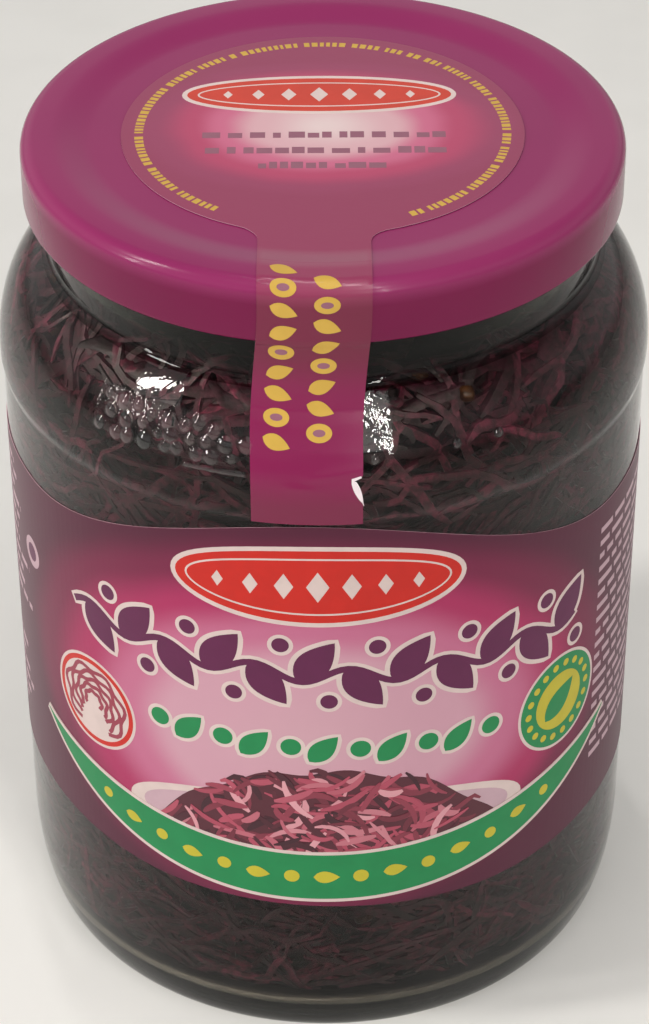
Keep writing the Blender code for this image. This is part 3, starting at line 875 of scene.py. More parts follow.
def add_flat_shape(bm, outline, low, high, border=None):
    """A closed flat shape from an outline of (across, up) points, with an optional inset border."""
    face = bm.faces.new([bm.verts.new((across, up, low)) for across, up in outline])
    faces = [face]
    if border is not None:
        ring = bmesh.ops.inset_region(bm, faces=faces, thickness=border, use_boundary=True,
                                      use_even_offset=True)["faces"]
        for ring_face in ring:
            ring_face.material_index = 1
        faces += ring
    made = bmesh.ops.extrude_face_region(bm, geom=faces)["geom"]
    top = [item for item in made if isinstance(item, bmesh.types.BMVert)]
    bmesh.ops.translate(bm, verts=top, vec=(0.0, 0.0, high - low))


def cut_and_wrap(bm, wrap, across_lines, up_lines=()):
    """Cuts flat shapes along lines and bends them with a wrap function."""
    bmesh.ops.recalc_face_normals(bm, faces=bm.faces)
    bmesh.ops.triangulate(bm, faces=bm.faces)
    for axis, lines in ((0, across_lines), (1, up_lines)):
        values = [vert.co[axis] for vert in bm.verts]
        plane = Vector((axis == 0, axis == 1, 0.0))
        for line in lines:
            if min(values) < line < max(values):
                bmesh.ops.bisect_plane(bm, geom=bm.verts[:] + bm.edges[:] + bm.faces[:],
                                       plane_co=plane * line, plane_no=plane)
    for vert in bm.verts:
        vert.co = wrap(*vert.co)


print("paper is", round(PAPER / MM, 2), "mm thick")

# %% [markdown]
# The wrap for the label bends the flat sheet round a fine prism of 240 sides. All shapes are cut
# along the prism's edges, so a shape that lies on another one never dips through it. At the back
# the right end of the label rises over the left end, as on a glued label.

# %% Wrap for the label
PAPER_RADIUS = BODY_RADIUS + 0.06 * MM
FACETS = 240
FACET_WIDTH = 2.0 * math.pi * PAPER_RADIUS / FACETS
SEAM = math.pi * PAPER_RADIUS
SEAM_LIFT = 0.1 * MM
LABEL_FACETS = [index * FACET_WIDTH for index in range(-FACETS // 2, FACETS // 2 + 4)]


def wrap_label(across, up, lift):
    """Bends the flat label, so that lift stands out from the wall."""
    facet = math.floor(across / FACET_WIDTH + 1e-6)
    share = across / FACET_WIDTH - facet
    start, end = (on_wall(1.0, 360.0 * side / FACETS, 0.0) for side in (facet, facet + 1))
    radius = PAPER_RADIUS + lift + SEAM_LIFT * smooth_step(SEAM - 2.0 * MM, SEAM, across)
    place = start.lerp(end, share) * radius
    return Vector((place.x, place.y, up))


print("one facet of the label is", round(FACET_WIDTH / MM, 2), "mm wide")

# %% [markdown]
# ## Label
# The sheet is highest at the front, under the seal strip, and runs out lower towards the sides.
# It went on a little askew. Its field of colour is a plum print that turns to magenta and then
# to a pale pink glow in the middle, so the shader measures how far a point is from the glow.

# %% Sheet of the label
LABEL_LOW = 27.7 * MM
LABEL_SIDE_TOP = 86.3 * MM
LABEL_ARCH = 11.1 * MM
LABEL_ARCH_ANGLE = 62.0
LABEL_SIDE_LIFT = 2.0 * MM
LABEL_SKEW = 1.6 * MM
EDGE_LINE = 0.28 * MM


def label_skew(angle):
    """How far the label's edges are moved up, as it went on askew."""
    return -LABEL_SKEW * math.sin(math.radians(angle))


def label_top(across):
    """Height of the upper edge at a distance from the front."""
    angle = math.degrees(across / PAPER_RADIUS)
    arch = 0.5 * (1.0 + math.cos(math.pi * min(abs(angle) / LABEL_ARCH_ANGLE, 1.0)))
    return LABEL_SIDE_TOP + LABEL_ARCH * arch + label_skew(angle)


def label_bottom(across):
    """Height of the lower edge at a distance from the front."""
    angle = math.degrees(across / PAPER_RADIUS)
    return LABEL_LOW + LABEL_SIDE_LIFT * smooth_step(25.0, 70.0, abs(angle)) + label_skew(angle)


label_height = label_top(0.0) - label_bottom(0.0)
label_length = LABEL_FACETS[-1] - LABEL_FACETS[0]
print("label", round(label_height / MM, 1), "mm high at the front,", round(label_length / MM, 1), "mm long")

# %% Paper and ink
LABEL_LIGHT = 0.84


def printed(code, light=LABEL_LIGHT):
    """The ink's own colour, from the colour that it shows in soft light."""
    return (*[min(value / light, 0.9) for value in paint(code)[:3]], 1.0)


def new_print(name, roughness=0.42):
    """Printed paper with a thin varnish, still without its colour."""
    material, tree, shader = new_material(name, roughness, 0.25)
    add_coat(shader, 0.1, 0.2)
    return material, tree, shader


def new_ink(name, code, light=LABEL_LIGHT):
    """A printed colour on paper, slightly uneven."""
    material, tree, shader = new_print(name)
    full = printed(code, light)
    thin = (*[value * 0.93 for value in full[:3]], 1.0)
    colour = add_ramp(tree, add_noise(tree, 300.0), [(0.3, thin), (0.7, full)])
    tree.links.new(colour, shader.inputs["Base Color"])
    add_bump(tree, shader, add_noise(tree, 900.0), 0.03 * MM, 0.3)
    return material


print("white print shows at", LABEL_LIGHT, "of its own light")

# %% Sums in a shader
def add_math(tree, operation, first, second=None):
    """A sum in the shader, of sockets or fixed numbers."""
    node = tree.nodes.new("ShaderNodeMath")
    node.operation = operation
    for value, socket in ((first, node.inputs[0]), (second, node.inputs[1])):
        if isinstance(value, bpy.types.NodeSocket):
            tree.links.new(value, socket)
        elif value is not None:
            socket.default_value = value
    return node.outputs[0]


def glow_distance(tree, across, up, centre, radii):
    """Distance from the middle of a glow, 1 at an ellipse with the given radii."""
    squares = []
    for value, middle, radius in ((across, centre[0], radii[0]), (up, centre[1], radii[1])):
        share = add_math(tree, "DIVIDE", add_math(tree, "SUBTRACT", value, middle), radius)
        squares.append(add_math(tree, "MULTIPLY", share, share))
    return add_math(tree, "SQRT", add_math(tree, "ADD", *squares))


def glow_colour(tree, glow, scale, unevenness, stops, light):
    """Printed colours from the middle of a glow outwards, with slightly uneven borders."""
    uneven = add_math(tree, "MULTIPLY", add_noise(tree, scale, 2.0), unevenness)
    glow = add_math(tree, "ADD", glow, add_math(tree, "SUBTRACT", uneven, 0.5 * unevenness))
    return add_ramp(tree, add_math(tree, "DIVIDE", glow, GLOW_SPAN),
                    [(place / GLOW_SPAN, printed(code, light)) for place, code in stops])


# %% Field of colour on the label
GLOW_SPAN = 1.6
LABEL_GLOW_CENTRE = (-2.0 * MM, 60.0 * MM)
LABEL_GLOW_RADII = (36.0 * MM, 24.0 * MM)
LABEL_STOPS = ((0.0, "bc929e"), (0.6, "ba8c9b"), (0.82, "b06280"),
               (1.05, "9a2754"), (1.28, "6a193b"), (1.5, "4a122c"))
label_material, label_tree, label_shader = new_print("label_field", 0.4)
axis_x, axis_y, axis_z = object_axes(label_tree)
turn_angle = add_math(label_tree, "ARCTAN2", axis_x, add_math(label_tree, "MULTIPLY", axis_y, -1.0))
arc_length = add_math(label_tree, "MULTIPLY", turn_angle, PAPER_RADIUS)
label_glow = glow_distance(label_tree, arc_length, axis_z, LABEL_GLOW_CENTRE, LABEL_GLOW_RADII)
label_colour = glow_colour(label_tree, label_glow, 28.0, 0.22, LABEL_STOPS, LABEL_LIGHT)
label_tree.links.new(label_colour, label_shader.inputs["Base Color"])
add_bump(label_tree, label_shader, add_noise(label_tree, 900.0), 0.03 * MM, 0.3)
cut_edge_material = new_ink("cut_edge", "c8a2ac")

lines = LABEL_FACETS[:-1]
label_outline = [(across, label_bottom(across)) for across in lines]
label_outline += [(across, label_top(across)) for across in reversed(lines)]
label_bm = bmesh.new()
add_flat_shape(label_bm, label_outline, 0.0, PAPER, EDGE_LINE)
cut_and_wrap(label_bm, wrap_label, LABEL_FACETS)
finish_piece("label_sheet", label_bm, [label_material, cut_edge_material], "label")

# %% [markdown]
# ## Print on the label
# The printed design is plain: an oval plaque, a vine of dark leaves, a row of small green leaves,
# a dish of shredded cabbage over a green garland, half a cabbage and a round badge with a leaf.
# Each outline is worked out from a few sizes. A pale outline is the same shape, grown a little.

# %% Outlines to draw with
def ellipse(centre, radii, count=64):
    """Points of an ellipse, anticlockwise."""
    points = []
    for index in range(count):
        turn = 2.0 * math.pi * index / count
        points.append((centre[0] + radii[0] * math.cos(turn), centre[1] + radii[1] * math.sin(turn)))
    return points


def disc(centre, radius, count=64):
    """An ellipse with one radius."""
    return ellipse(centre, (radius, radius), count)


def leaf(base, length, width, tilt, count=14):
    """A pointed leaf that starts at its base and leans by a tilt, in degrees from level."""
    lean = math.radians(tilt)
    points = []
    for side in (-1.0, 1.0):
        for index in range(count):
            share = index / count if side < 0.0 else 1.0 - index / count
            along = share * length
            off = side * 0.5 * width * math.sin(math.pi * share ** 0.8) ** 0.9
            points.append((base[0] + along * math.cos(lean) - off * math.sin(lean),
                           base[1] + along * math.sin(lean) + off * math.cos(lean)))
    return points


def ribbon(path, half_widths):
    """A band along a path of points, with a half width for each point."""
    left, right = [], []
    for index, (across, up) in enumerate(path):
        before = path[max(index - 1, 0)]
        after = path[min(index + 1, len(path) - 1)]
        heading = Vector((after[0] - before[0], after[1] - before[1])).normalized()
        half = half_widths[index]
        left.append((across - heading.y * half, up + heading.x * half))
        right.append((across + heading.y * half, up - heading.x * half))
    return right + list(reversed(left))


def grown(outline, amount):
    """The same outline, moved outwards. It runs anticlockwise."""
    points = []
    for index, point in enumerate(outline):
        before = Vector(outline[index - 1])
        after = Vector(outline[(index + 1) % len(outline)])
        heading = (after - before).normalized()
        points.append((point[0] + heading.y * amount, point[1] - heading.x * amount))
    return points


print("a leaf is drawn with", len(leaf((0.0, 0.0), 1.0, 0.5, 0.0)), "points")

# %% Print one colour
def print_shapes(name, shapes, material, wrap, across_lines, up_lines=()):
    """One printed colour: flat shapes as (outline, rise), each sunk a little into the paper."""
    bm = bmesh.new()
    for outline, rise in shapes:
        add_flat_shape(bm, outline, PAPER - SINK, PAPER + rise)
    cut_and_wrap(bm, wrap, across_lines, up_lines)
    finish_piece(name, bm, [material])


LAYER = 0.01 * MM
SHAPE_STEP = 0.0003 * MM
OUTLINE = 0.75 * MM
FINE_OUTLINE = 0.6 * MM
layers = {name: [] for name in ("cream", "red", "plum", "green", "yellow", "crimson", "pale")}


def add_outlined(name, outline, layer, amount=OUTLINE):
    """A shape with a pale outline. Each lies a hair above the last, so overlaps stay clean."""
    extra = len(layers[name]) * SHAPE_STEP
    layers["cream"].append((grown(outline, amount), layer * LAYER + extra))
    layers[name].append((outline, (layer + 1) * LAYER + extra))


# %% Plaque
PLAQUE_CENTRE = (-1.0 * MM, 87.2 * MM)
PLAQUE_RADII = (20.5 * MM, 6.2 * MM)


def add_plaque(centre, radii, lozenge, shapes=layers):
    """A red oval with a cream rim, a fine cream line inside, and a row of cream lozenges."""
    shapes["cream"].append((grown(ellipse(centre, radii), OUTLINE), LAYER))
    shapes["red"].append((ellipse(centre, radii), 2 * LAYER))
    inner = (radii[0] - 1.5 * MM, radii[1] - 1.3 * MM)
    shapes["cream"].append((ellipse(centre, inner), 3 * LAYER))
    shapes["red"].append((grown(ellipse(centre, inner), -0.3 * MM), 4 * LAYER))
    for index in range(-3, 4):
        size = lozenge * (1.0 - 0.16 * abs(index))
        middle = (centre[0] + index * 0.23 * radii[0], centre[1])
        shapes["cream"].append((ellipse(middle, (0.62 * size, size), 4), 5 * LAYER))


add_plaque(PLAQUE_CENTRE, PLAQUE_RADII, 2.6 * MM)
print("the plaque is", round(2.0 * PLAQUE_RADII[0] / MM, 1), "mm wide")

# %% Vine of dark leaves
VINE_HALF = 41.0 * MM
VINE_HEIGHT = 71.6 * MM
VINE_LEAVES = 12
VINE_LEAN = 52.0


def vine_height(across):
    """Height of the vine's stem, which sways once for every second leaf."""
    sway = 1.3 * MM * math.sin(across / VINE_HALF * math.pi * VINE_LEAVES / 2.0)
    return VINE_HEIGHT - 0.035 * across + sway


vine_path = [(across, vine_height(across)) for across in np.linspace(-VINE_HALF, VINE_HALF, 90)]
add_outlined("plum", ribbon(vine_path, [0.55 * MM] * len(vine_path)), 1, FINE_OUTLINE)
for index in range(VINE_LEAVES):
    across = -VINE_HALF + (index + 0.4) * 2.0 * VINE_HALF / VINE_LEAVES
    side = 1.0 if index % 2 else -1.0
    base = (across, vine_height(across))
    add_outlined("plum", leaf(base, 8.8 * MM, 4.9 * MM, side * VINE_LEAN), 1)
    bud = (across + 4.6 * MM, base[1] - side * 3.6 * MM)
    add_outlined("plum", disc(bud, 1.25 * MM, 24), 1, FINE_OUTLINE)
print("shapes in the vine:", len(layers["plum"]))

# %% Row of small green leaves
GREEN_ROW = 57.6 * MM
for index in range(-5, 6):
    across = index * 5.0 * MM
    up = GREEN_ROW - 0.04 * across
    if index % 2:
        shape = disc((across, up + 0.6 * MM), 1.5 * MM, 28)
    else:
        shape = leaf((across - 2.4 * MM, up - 1.8 * MM), 6.2 * MM, 3.4 * MM, 48.0)
    add_outlined("green", shape, 1, FINE_OUTLINE)
print("shapes in the green row:", len(layers["green"]))

# %% Dish and garland
DISH_CENTRE = (0.0, 42.0 * MM)
GARLAND_REACH = 51.0 * MM
GARLAND_LOW = 33.6 * MM
GARLAND_RISE = 12.5 * MM
GARLAND_HALF = 4.3 * MM
HEAP_TOP_LAYER = 12
layers["cream"].append((ellipse(DISH_CENTRE, (31.0 * MM, 7.6 * MM)), LAYER))
layers["pale"].append((ellipse((0.0, 42.2 * MM), (28.5 * MM, 6.2 * MM)), 2 * LAYER))


def garland_height(share):
    """Height of the garland's middle line, from its lowest point at 0 to its tips at 1."""
    return GARLAND_LOW + GARLAND_RISE * share ** 2.2


garland_path = []
garland_halves = []
for across in np.linspace(-GARLAND_REACH, GARLAND_REACH, 80):
    share = abs(across) / GARLAND_REACH
    garland_path.append((across, garland_height(share)))
    garland_halves.append(max(GARLAND_HALF * (1.0 - share ** 3), 0.12 * MM))
garland = ribbon(garland_path, garland_halves)
layers["cream"].append((grown(garland, FINE_OUTLINE), HEAP_TOP_LAYER * LAYER))
layers["green"].append((garland, (HEAP_TOP_LAYER + 0.5) * LAYER))
for index in range(-7, 8):
    across = index * 5.1 * MM
    share = abs(across) / GARLAND_REACH
    up = garland_height(share)
    slope = math.degrees(math.atan2(math.copysign(share, across) * 0.45, 1.0))
    size = (1.0 - 0.35 * share) * MM
    if index % 2:
        mark = disc((across, up), 1.2 * size, 20)
    else:
        mark = leaf((across - 1.9 * size, up), 3.9 * size, 2.3 * size, slope, 8)
    layers["yellow"].append((mark, (HEAP_TOP_LAYER + 1) * LAYER))
print("the garland is drawn with", len(garland), "points")

# %% Half a cabbage and a badge
HALF_CENTRE = (-38.0 * MM, 55.5 * MM)
HALF_RADIUS = 8.0 * MM
BADGE_CENTRE = (38.5 * MM, 55.0 * MM)
BADGE_RADIUS = 8.0 * MM
BADGE_DOTS = 18
ROUND_OUTLINE = 0.5 * MM
add_outlined("red", ellipse(HALF_CENTRE, (HALF_RADIUS, 0.95 * HALF_RADIUS)), 1, ROUND_OUTLINE)
layers["cream"].append((ellipse(HALF_CENTRE, (0.9 * HALF_RADIUS, 0.85 * HALF_RADIUS)), 3 * LAYER))
for ring in range(5):
    reach = HALF_RADIUS * (0.78 - 0.14 * ring)
    path = []
    for turn in np.radians(np.linspace(-60.0 + 6.0 * ring, 240.0 - 6.0 * ring, 40)):
        wavy = reach * (1.0 + 0.07 * math.sin(7.0 * turn + 2.0 * ring))
        path.append((HALF_CENTRE[0] + wavy * math.cos(turn),
                     HALF_CENTRE[1] + 0.94 * wavy * math.sin(turn)))
    layers["crimson"].append((ribbon(path, [0.34 * MM] * len(path)), (4 + ring) * LAYER))
add_outlined("green", disc(BADGE_CENTRE, BADGE_RADIUS), 1, ROUND_OUTLINE)
layers["yellow"].append((disc(BADGE_CENTRE, 5.0 * MM), 3 * LAYER))
badge_leaf_base = (BADGE_CENTRE[0] - 3.0 * MM, BADGE_CENTRE[1] - 2.6 * MM)
layers["green"].append((leaf(badge_leaf_base, 8.0 * MM, 4.2 * MM, 42.0), 4 * LAYER))
for place in disc(BADGE_CENTRE, 6.5 * MM, BADGE_DOTS):
    layers["yellow"].append((disc(place, 0.62 * MM, 12), 3 * LAYER))
print("bands in the half cabbage:", len(layers["crimson"]))

# %% [markdown]
# The text on such a label is small print in rows. It is left out, and rows of short pale dashes
# of uneven length keep its grey value at the sides.

# %% Rows of dashes
# Left, right, lower and upper edge of each area of small print, in mm from the front
DASH_AREAS = ((47.5, 79.0, 36.0, 80.0), (-79.0, -56.0, 60.0, 84.0), (-79.0, -56.0, 38.0, 50.0))
DASH_PITCH = 2.35 * MM
DASH_HEIGHT = 0.95 * MM
DASH_GAP = 0.9 * MM
SIDE_RING_CENTRE = (-54.0 * MM, 73.0 * MM)


def bar_outline(left, low, length, height):
    """The four corners of a level bar."""
    return [(left, low), (left + length, low), (left + length, low + height), (left, low + height)]


def dash_rows(left, right, low, high, draw):
    """Rows of short level bars that stand for small print."""
    bars = []
    up = high
    while up > low:
        across = left
        row_end = right - draw.uniform(0.0, 0.35) * (right - left)
        while across < row_end:
            length = draw.uniform(1.4, 4.6) * MM
            end = min(across + length, row_end)
            bars.append(bar_outline(across, up, end - across, DASH_HEIGHT))
            across = end + DASH_GAP
        up -= DASH_PITCH
    return bars


print_draw = random.Random(5)
for area in DASH_AREAS:
    for bar in dash_rows(*[edge * MM for edge in area], print_draw):
        layers["pale"].append((bar, LAYER))
layers["pale"].append((disc(SIDE_RING_CENTRE, 2.6 * MM, 32), LAYER))
layers["plum"].append((disc(SIDE_RING_CENTRE, 1.5 * MM, 28), 2 * LAYER))
print("shapes on the label:", {name: len(shapes) for name, shapes in layers.items()})

# %% [markdown]
# The printed heap in the dish is drawn strip by strip: some two hundred short bent bands, from
# dark to pink, each a hair higher than the last. A float attribute carries every band's tone.

# %% Printed heap
STRIP_STEP = 0.0004 * MM
HEAP_STRIPS = 200
HEAP_LOW = 40.0 * MM
HEAP_RISE = 14.5 * MM
HEAP_HALF = 27.0 * MM


def heap_edge(across):
    """Height of the heap's outline over the dish."""
    share = min(abs(across) / HEAP_HALF, 1.0)
    uneven = 0.5 * MM * math.sin(across / (1.9 * MM))
    return HEAP_LOW + HEAP_RISE * (1.0 - share ** 2.4) + uneven


def heap_strip(draw):
    """One bent band inside the heap's outline, pointed at both ends."""
    across = draw.triangular(-25.0, 25.0, 0.0) * MM
    up = draw.uniform(36.5 * MM, heap_edge(across) - 1.4 * MM)
    length = draw.uniform(3.5, 8.5) * MM
    heading = math.radians(draw.uniform(-70.0, 70.0))
    curl = draw.uniform(-0.9, 0.9)
    half = draw.uniform(0.28, 0.62) * MM
    path = []
    halves = []
    for share in np.linspace(-0.5, 0.5, 7):
        turn = heading + curl * share
        point = (across + share * length * math.cos(turn), up + share * length * math.sin(turn))
        path.append((point[0], min(point[1], heap_edge(point[0]))))
        halves.append(half * (1.0 - 0.6 * abs(2.0 * share) ** 3))
    return ribbon(path, halves)


heap_ink, heap_ink_tree, heap_ink_shader = new_print("print_heap_ink")
HEAP_STOPS = ((0.0, "3c2028"), (0.3, "74303e"), (0.65, "a04658"), (1.0, "c89098"))
heap_ink_colour = add_ramp(heap_ink_tree, stored_tone(heap_ink_tree),
                           [(place, printed(code)) for place, code in HEAP_STOPS])
heap_ink_tree.links.new(heap_ink_colour, heap_ink_shader.inputs["Base Color"])
mound = [(across, heap_edge(across) - 0.8 * MM) for across in np.linspace(26.0 * MM, -26.0 * MM, 50)]
mound += [(across, 37.0 * MM) for across in np.linspace(-24.0 * MM, 24.0 * MM, 30)]
heap_print_bm = bmesh.new()
tone_key = heap_print_bm.verts.layers.float.new("tone")
heap_shapes = [(mound, 3 * LAYER, 0.1)]
for index in range(HEAP_STRIPS):
    strip_tone = print_draw.random() ** 1.2
    heap_shapes.append((heap_strip(print_draw), 3.2 * LAYER + index * STRIP_STEP, strip_tone))
for outline, strip_rise, strip_tone in heap_shapes:
    known = len(heap_print_bm.verts)
    add_flat_shape(heap_print_bm, outline, PAPER - SINK, PAPER + strip_rise)
    heap_print_bm.verts.ensure_lookup_table()
    for vert in heap_print_bm.verts[known:]:
        vert[tone_key] = strip_tone
cut_and_wrap(heap_print_bm, wrap_label, LABEL_FACETS)
finish_piece("print_heap", heap_print_bm, [heap_ink])

# %% Print every layer of the label
INKS = {"cream": "c8b5b1", "red": "b82016", "plum": "581a42", "green": "187a46",
        "yellow": "b4a82e", "crimson": "8c3446", "pale": "b596a0"}
for name, shapes in layers.items():
    ink = new_ink(f"ink_{name}", INKS[name])
    print_shapes(f"print_{name}", shapes, ink, wrap_label, LABEL_FACETS)

# %% [markdown]
# ## Seal strip
# The seal is one piece of glossy film: a round part on the lid and a strip that runs down over
# the slope, the rim and the skirt, bridges the dark gap below the lid, and sticks to the shoulder
# as far as the label. Its route is one line of (radius, height) points. A point's place on the
# film is its distance across and its distance along that line from the middle of the lid.

# %% Route of the seal
SEAL_RADIUS = 28.5 * MM
FILM_GAP = 0.1 * MM
STRIP_WIDTH = 15.2 * MM
STRIP_TOP_X = -1.2 * MM
STRIP_LOW_X = -2.4 * MM
BRIDGE_SAG = 0.55 * MM
ROUND_START = 27.0 * MM
LANDING_ANGLE = 54.0


def seal_route():
    """Points from the middle of the lid down to the label."""
    points = [(0.0, PANEL_HEIGHT + FILM_GAP)] + lid_top(FILM_GAP)
    skirt = LID_RADIUS + FILM_GAP
    points.append((skirt, LID_FOOT + LID_CURL))
    points.append((skirt - 0.1 * MM, LID_FOOT + 0.2 * MM))
    landing = dome_point(LANDING_ANGLE, FILM_GAP)[0]
    leaving = (skirt - 0.35 * MM, LID_FOOT - 0.4 * MM)
    for share in np.linspace(0.0, 1.0, 9):
        sag = BRIDGE_SAG * math.sin(math.pi * share)
        radius = leaving[0] + share * (landing.x - leaving[0]) - sag
        points.append((radius, leaving[1] + share * (landing.y - leaving[1])))
    points += [tuple(dome_point(angle, FILM_GAP)[0]) for angle in np.linspace(50.0, 0.0, 16)]
    return points + [(CONTACT_RADIUS + FILM_GAP, STRIP_LOW)]


route = np.array(seal_route())
route_steps = np.hypot(*np.diff(route, axis=0).T)
route_places = np.concatenate(([0.0], np.cumsum(route_steps)))
ROUTE_LENGTH = float(route_places[-1])
print("the strip's way from the middle of the lid is", round(ROUTE_LENGTH / MM, 1), "mm long")


def route_point(place):
    """Radius and height at a place along the route."""
    return np.array([np.interp(place, route_places, column) for column in route.T])


def place_at_height(height):
    """Place along the route at a height on the shoulder."""
    shoulder = route[::-1]
    return float(np.interp(height, shoulder[:, 1], route_places[::-1]))


# %% [markdown]
# Film never lies quite flat on a double curve. Where the strip meets the shoulder it gathers in
# low wrinkles that run across it, and these make the pale streaks seen there. They are added as
# height on the wrap itself, so the print follows them.

# %% Wrap for the seal
SHOULDER_PLACE = place_at_height(dome_point(LANDING_ANGLE)[0].y)
FILM_SLOPE_STEP = 0.8 * MM
WRINKLE_WIDTH = 0.7 * MM
# Middle, place below the shoulder's top, rise and half length of each fold in mm, and its slant
WRINKLES = (
    (2.0, 8.5, 0.16, 5.0, 0.16),
    (-3.2, 10.8, 0.13, 3.2, -0.12),
    (3.6, 12.6, 0.1, 2.6, 0.1),
    (-0.6, 5.4, 0.08, 5.5, -0.05),
)


def wrinkle(across, place):
    """Height of the folds at a place on the strip."""
    rise = 0.0
    for middle, below, height, half_length, slant in WRINKLES:
        off = across - middle * MM
        along = place - SHOULDER_PLACE - below * MM + slant * off
        fade = max(0.0, 1.0 - (off / (half_length * MM)) ** 2)
        rise += height * MM * fade * math.exp(-(along / WRINKLE_WIDTH) ** 2)
    return rise


def wrap_seal(across, up, lift):
    """Bends the flat seal. Up is positive towards the back of the lid, negative down the strip."""
    place = max(-up, 0.0)
    if place < ROUND_START:
        return Vector((across, up, PANEL_HEIGHT + FILM_GAP + lift))
    radius, height = route_point(place)
    ahead = route_point(min(place + FILM_SLOPE_STEP, ROUTE_LENGTH))
    behind = route_point(place - FILM_SLOPE_STEP)
    heading = (ahead - behind) / np.hypot(*(ahead - behind))
    lift += wrinkle(across, place)
    radius -= heading[1] * lift
    height += heading[0] * lift
    bent = math.sqrt(max(radius * radius - across * across, 0.0))
    share = smooth_step(ROUND_START, LID_PANEL_RADIUS, place)
    return Vector((across, -(bent * share + radius * (1.0 - share)), height))


def strip_middle(place):
    """Distance of the strip's middle line from the jar's, as the strip runs down a little askew."""
    return STRIP_TOP_X + (STRIP_LOW_X - STRIP_TOP_X) * smooth_step(45.0 * MM, 66.0 * MM, place)


print("the strip lands on the shoulder after", round(SHOULDER_PLACE / MM, 1), "mm")

# %% [markdown]
# The film's outline is the round part, two small fillets and the strip's two sides. On the right,
# low on the shoulder, the strip has been torn a little, and the white core of the film shows
# along the tear.

# %% Outline of the seal
STRIP_FILLET = 2.6 * MM
TEAR_PLACE = place_at_height(105.6 * MM)
TEAR_HEIGHT = 4.4 * MM
TEAR_DEPTH = 1.7 * MM


def tear(place):
    """How far the right side is torn in at a place along the strip."""
    share = (place - TEAR_PLACE) / TEAR_HEIGHT
    if share < 0.0 or share > 1.0:
        return 0.0
    return TEAR_DEPTH * (1.0 - share) * smooth_step(0.0, 0.12, share)


def fillet_curve(corner, bend, edge):
    """Points between a corner on the round part and the strip's edge, drawn towards a bend."""
    points = []
    for share in np.linspace(0.0, 1.0, 9)[1:-1]:
        weights = ((1.0 - share) ** 2, 2.0 * share * (1.0 - share), share ** 2)
        points.append(tuple(np.dot(weights, (corner, bend, edge))))
    return points


def seal_outline():
    """The round part, the fillets and the strip as one flat outline, anticlockwise."""
    half = 0.5 * STRIP_WIDTH
    places = np.arange(SEAL_RADIUS + 2.4 * MM, ROUTE_LENGTH, 0.5 * MM)
    right = [(strip_middle(place) + half - tear(place), -place) for place in places]
    left = [(strip_middle(place) - half, -place) for place in places]
    leave = math.degrees(math.asin((half + STRIP_FILLET) / SEAL_RADIUS))
    middle = STRIP_TOP_X / SEAL_RADIUS * math.degrees(1.0)
    round_part = []
    for angle in np.linspace(leave + middle, 360.0 - leave + middle, 150):
        turn = math.radians(angle)
        round_part.append((SEAL_RADIUS * math.sin(turn), -SEAL_RADIUS * math.cos(turn)))
    fillets = []
    for side, corner in ((-1.0, round_part[-1]), (1.0, round_part[0])):
        edge = (STRIP_TOP_X + side * half, left[0][1])
        bend = (edge[0], corner[1] - 0.25 * (corner[1] - edge[1]))
        fillets.append(fillet_curve(corner, bend, edge))
    left_fillet, right_fillet = fillets
    return round_part + left_fillet + left + list(reversed(right)) + list(reversed(right_fillet))


seal_points = seal_outline()
print("the seal's outline has", len(seal_points), "points")

# %% Film material
LID_LIGHT = 0.86
HEIGHT_SCALE = 7.0
FILM_GLOW_CENTRE = (0.0, 1.5 * MM)
FILM_GLOW_RADII = (17.5 * MM, 12.5 * MM)
FILM_STOPS = ((0.0, "d6c0c0"), (0.55, "cca0a8"), (0.85, "be6080"),
              (1.1, "aa3d61"), (1.4, "8e385a"), (1.6, "8a3455"))
film_material, film_tree, film_shader = new_material("seal_film", 0.3, 0.3)
film_x, film_y, film_z = object_axes(film_tree)
film_glow = glow_distance(film_tree, film_x, film_y, FILM_GLOW_CENTRE, FILM_GLOW_RADII)
film_colour = glow_colour(film_tree, film_glow, 55.0, 0.3, FILM_STOPS, LID_LIGHT)
# Painted shade and light: down the strip the film is darker on the skirt, under the lid and low on the
# shoulder, and lighter and redder where it faces up on the shoulder, by height
strip_film_lit_and_shaded = add_ramp(film_tree, add_math(film_tree, "MULTIPLY", film_z, HEIGHT_SCALE), [
    (0.70, printed("6c163a")), (0.745, printed("84104c", 1.0)),
    (0.80, printed("84104c", 1.0)), (0.86, printed("6a1636"))])
on_lid = add_range(film_tree, film_z, PANEL_HEIGHT - 2.5 * MM, PANEL_HEIGHT)
film_base = mix_colours(film_tree, on_lid, strip_film_lit_and_shaded, film_colour)
film_tree.links.new(film_base, film_shader.inputs["Base Color"])
add_coat(film_shader, 0.22, 0.12)
add_bump(film_tree, film_shader, add_noise(film_tree, 420.0, 3.0), 0.06 * MM, 0.35)
film_edge_material = new_ink("film_edge", "cc98ac", LID_LIGHT)
print("colours from the film's glow outwards:", len(FILM_STOPS))

# %% Seal piece
strip_lines_up = [-float(place) for place in np.arange(ROUND_START, ROUTE_LENGTH, 0.55 * MM)]
strip_lines_across = [float(across) for across in np.arange(-10.4 * MM, 8.0 * MM, 0.8 * MM)]
seal_bm = bmesh.new()
add_flat_shape(seal_bm, seal_points, 0.0, PAPER, EDGE_LINE)
cut_and_wrap(seal_bm, wrap_seal, strip_lines_across, strip_lines_up)
finish_piece("seal_film", seal_bm, [film_material, film_edge_material], "seal_strip")

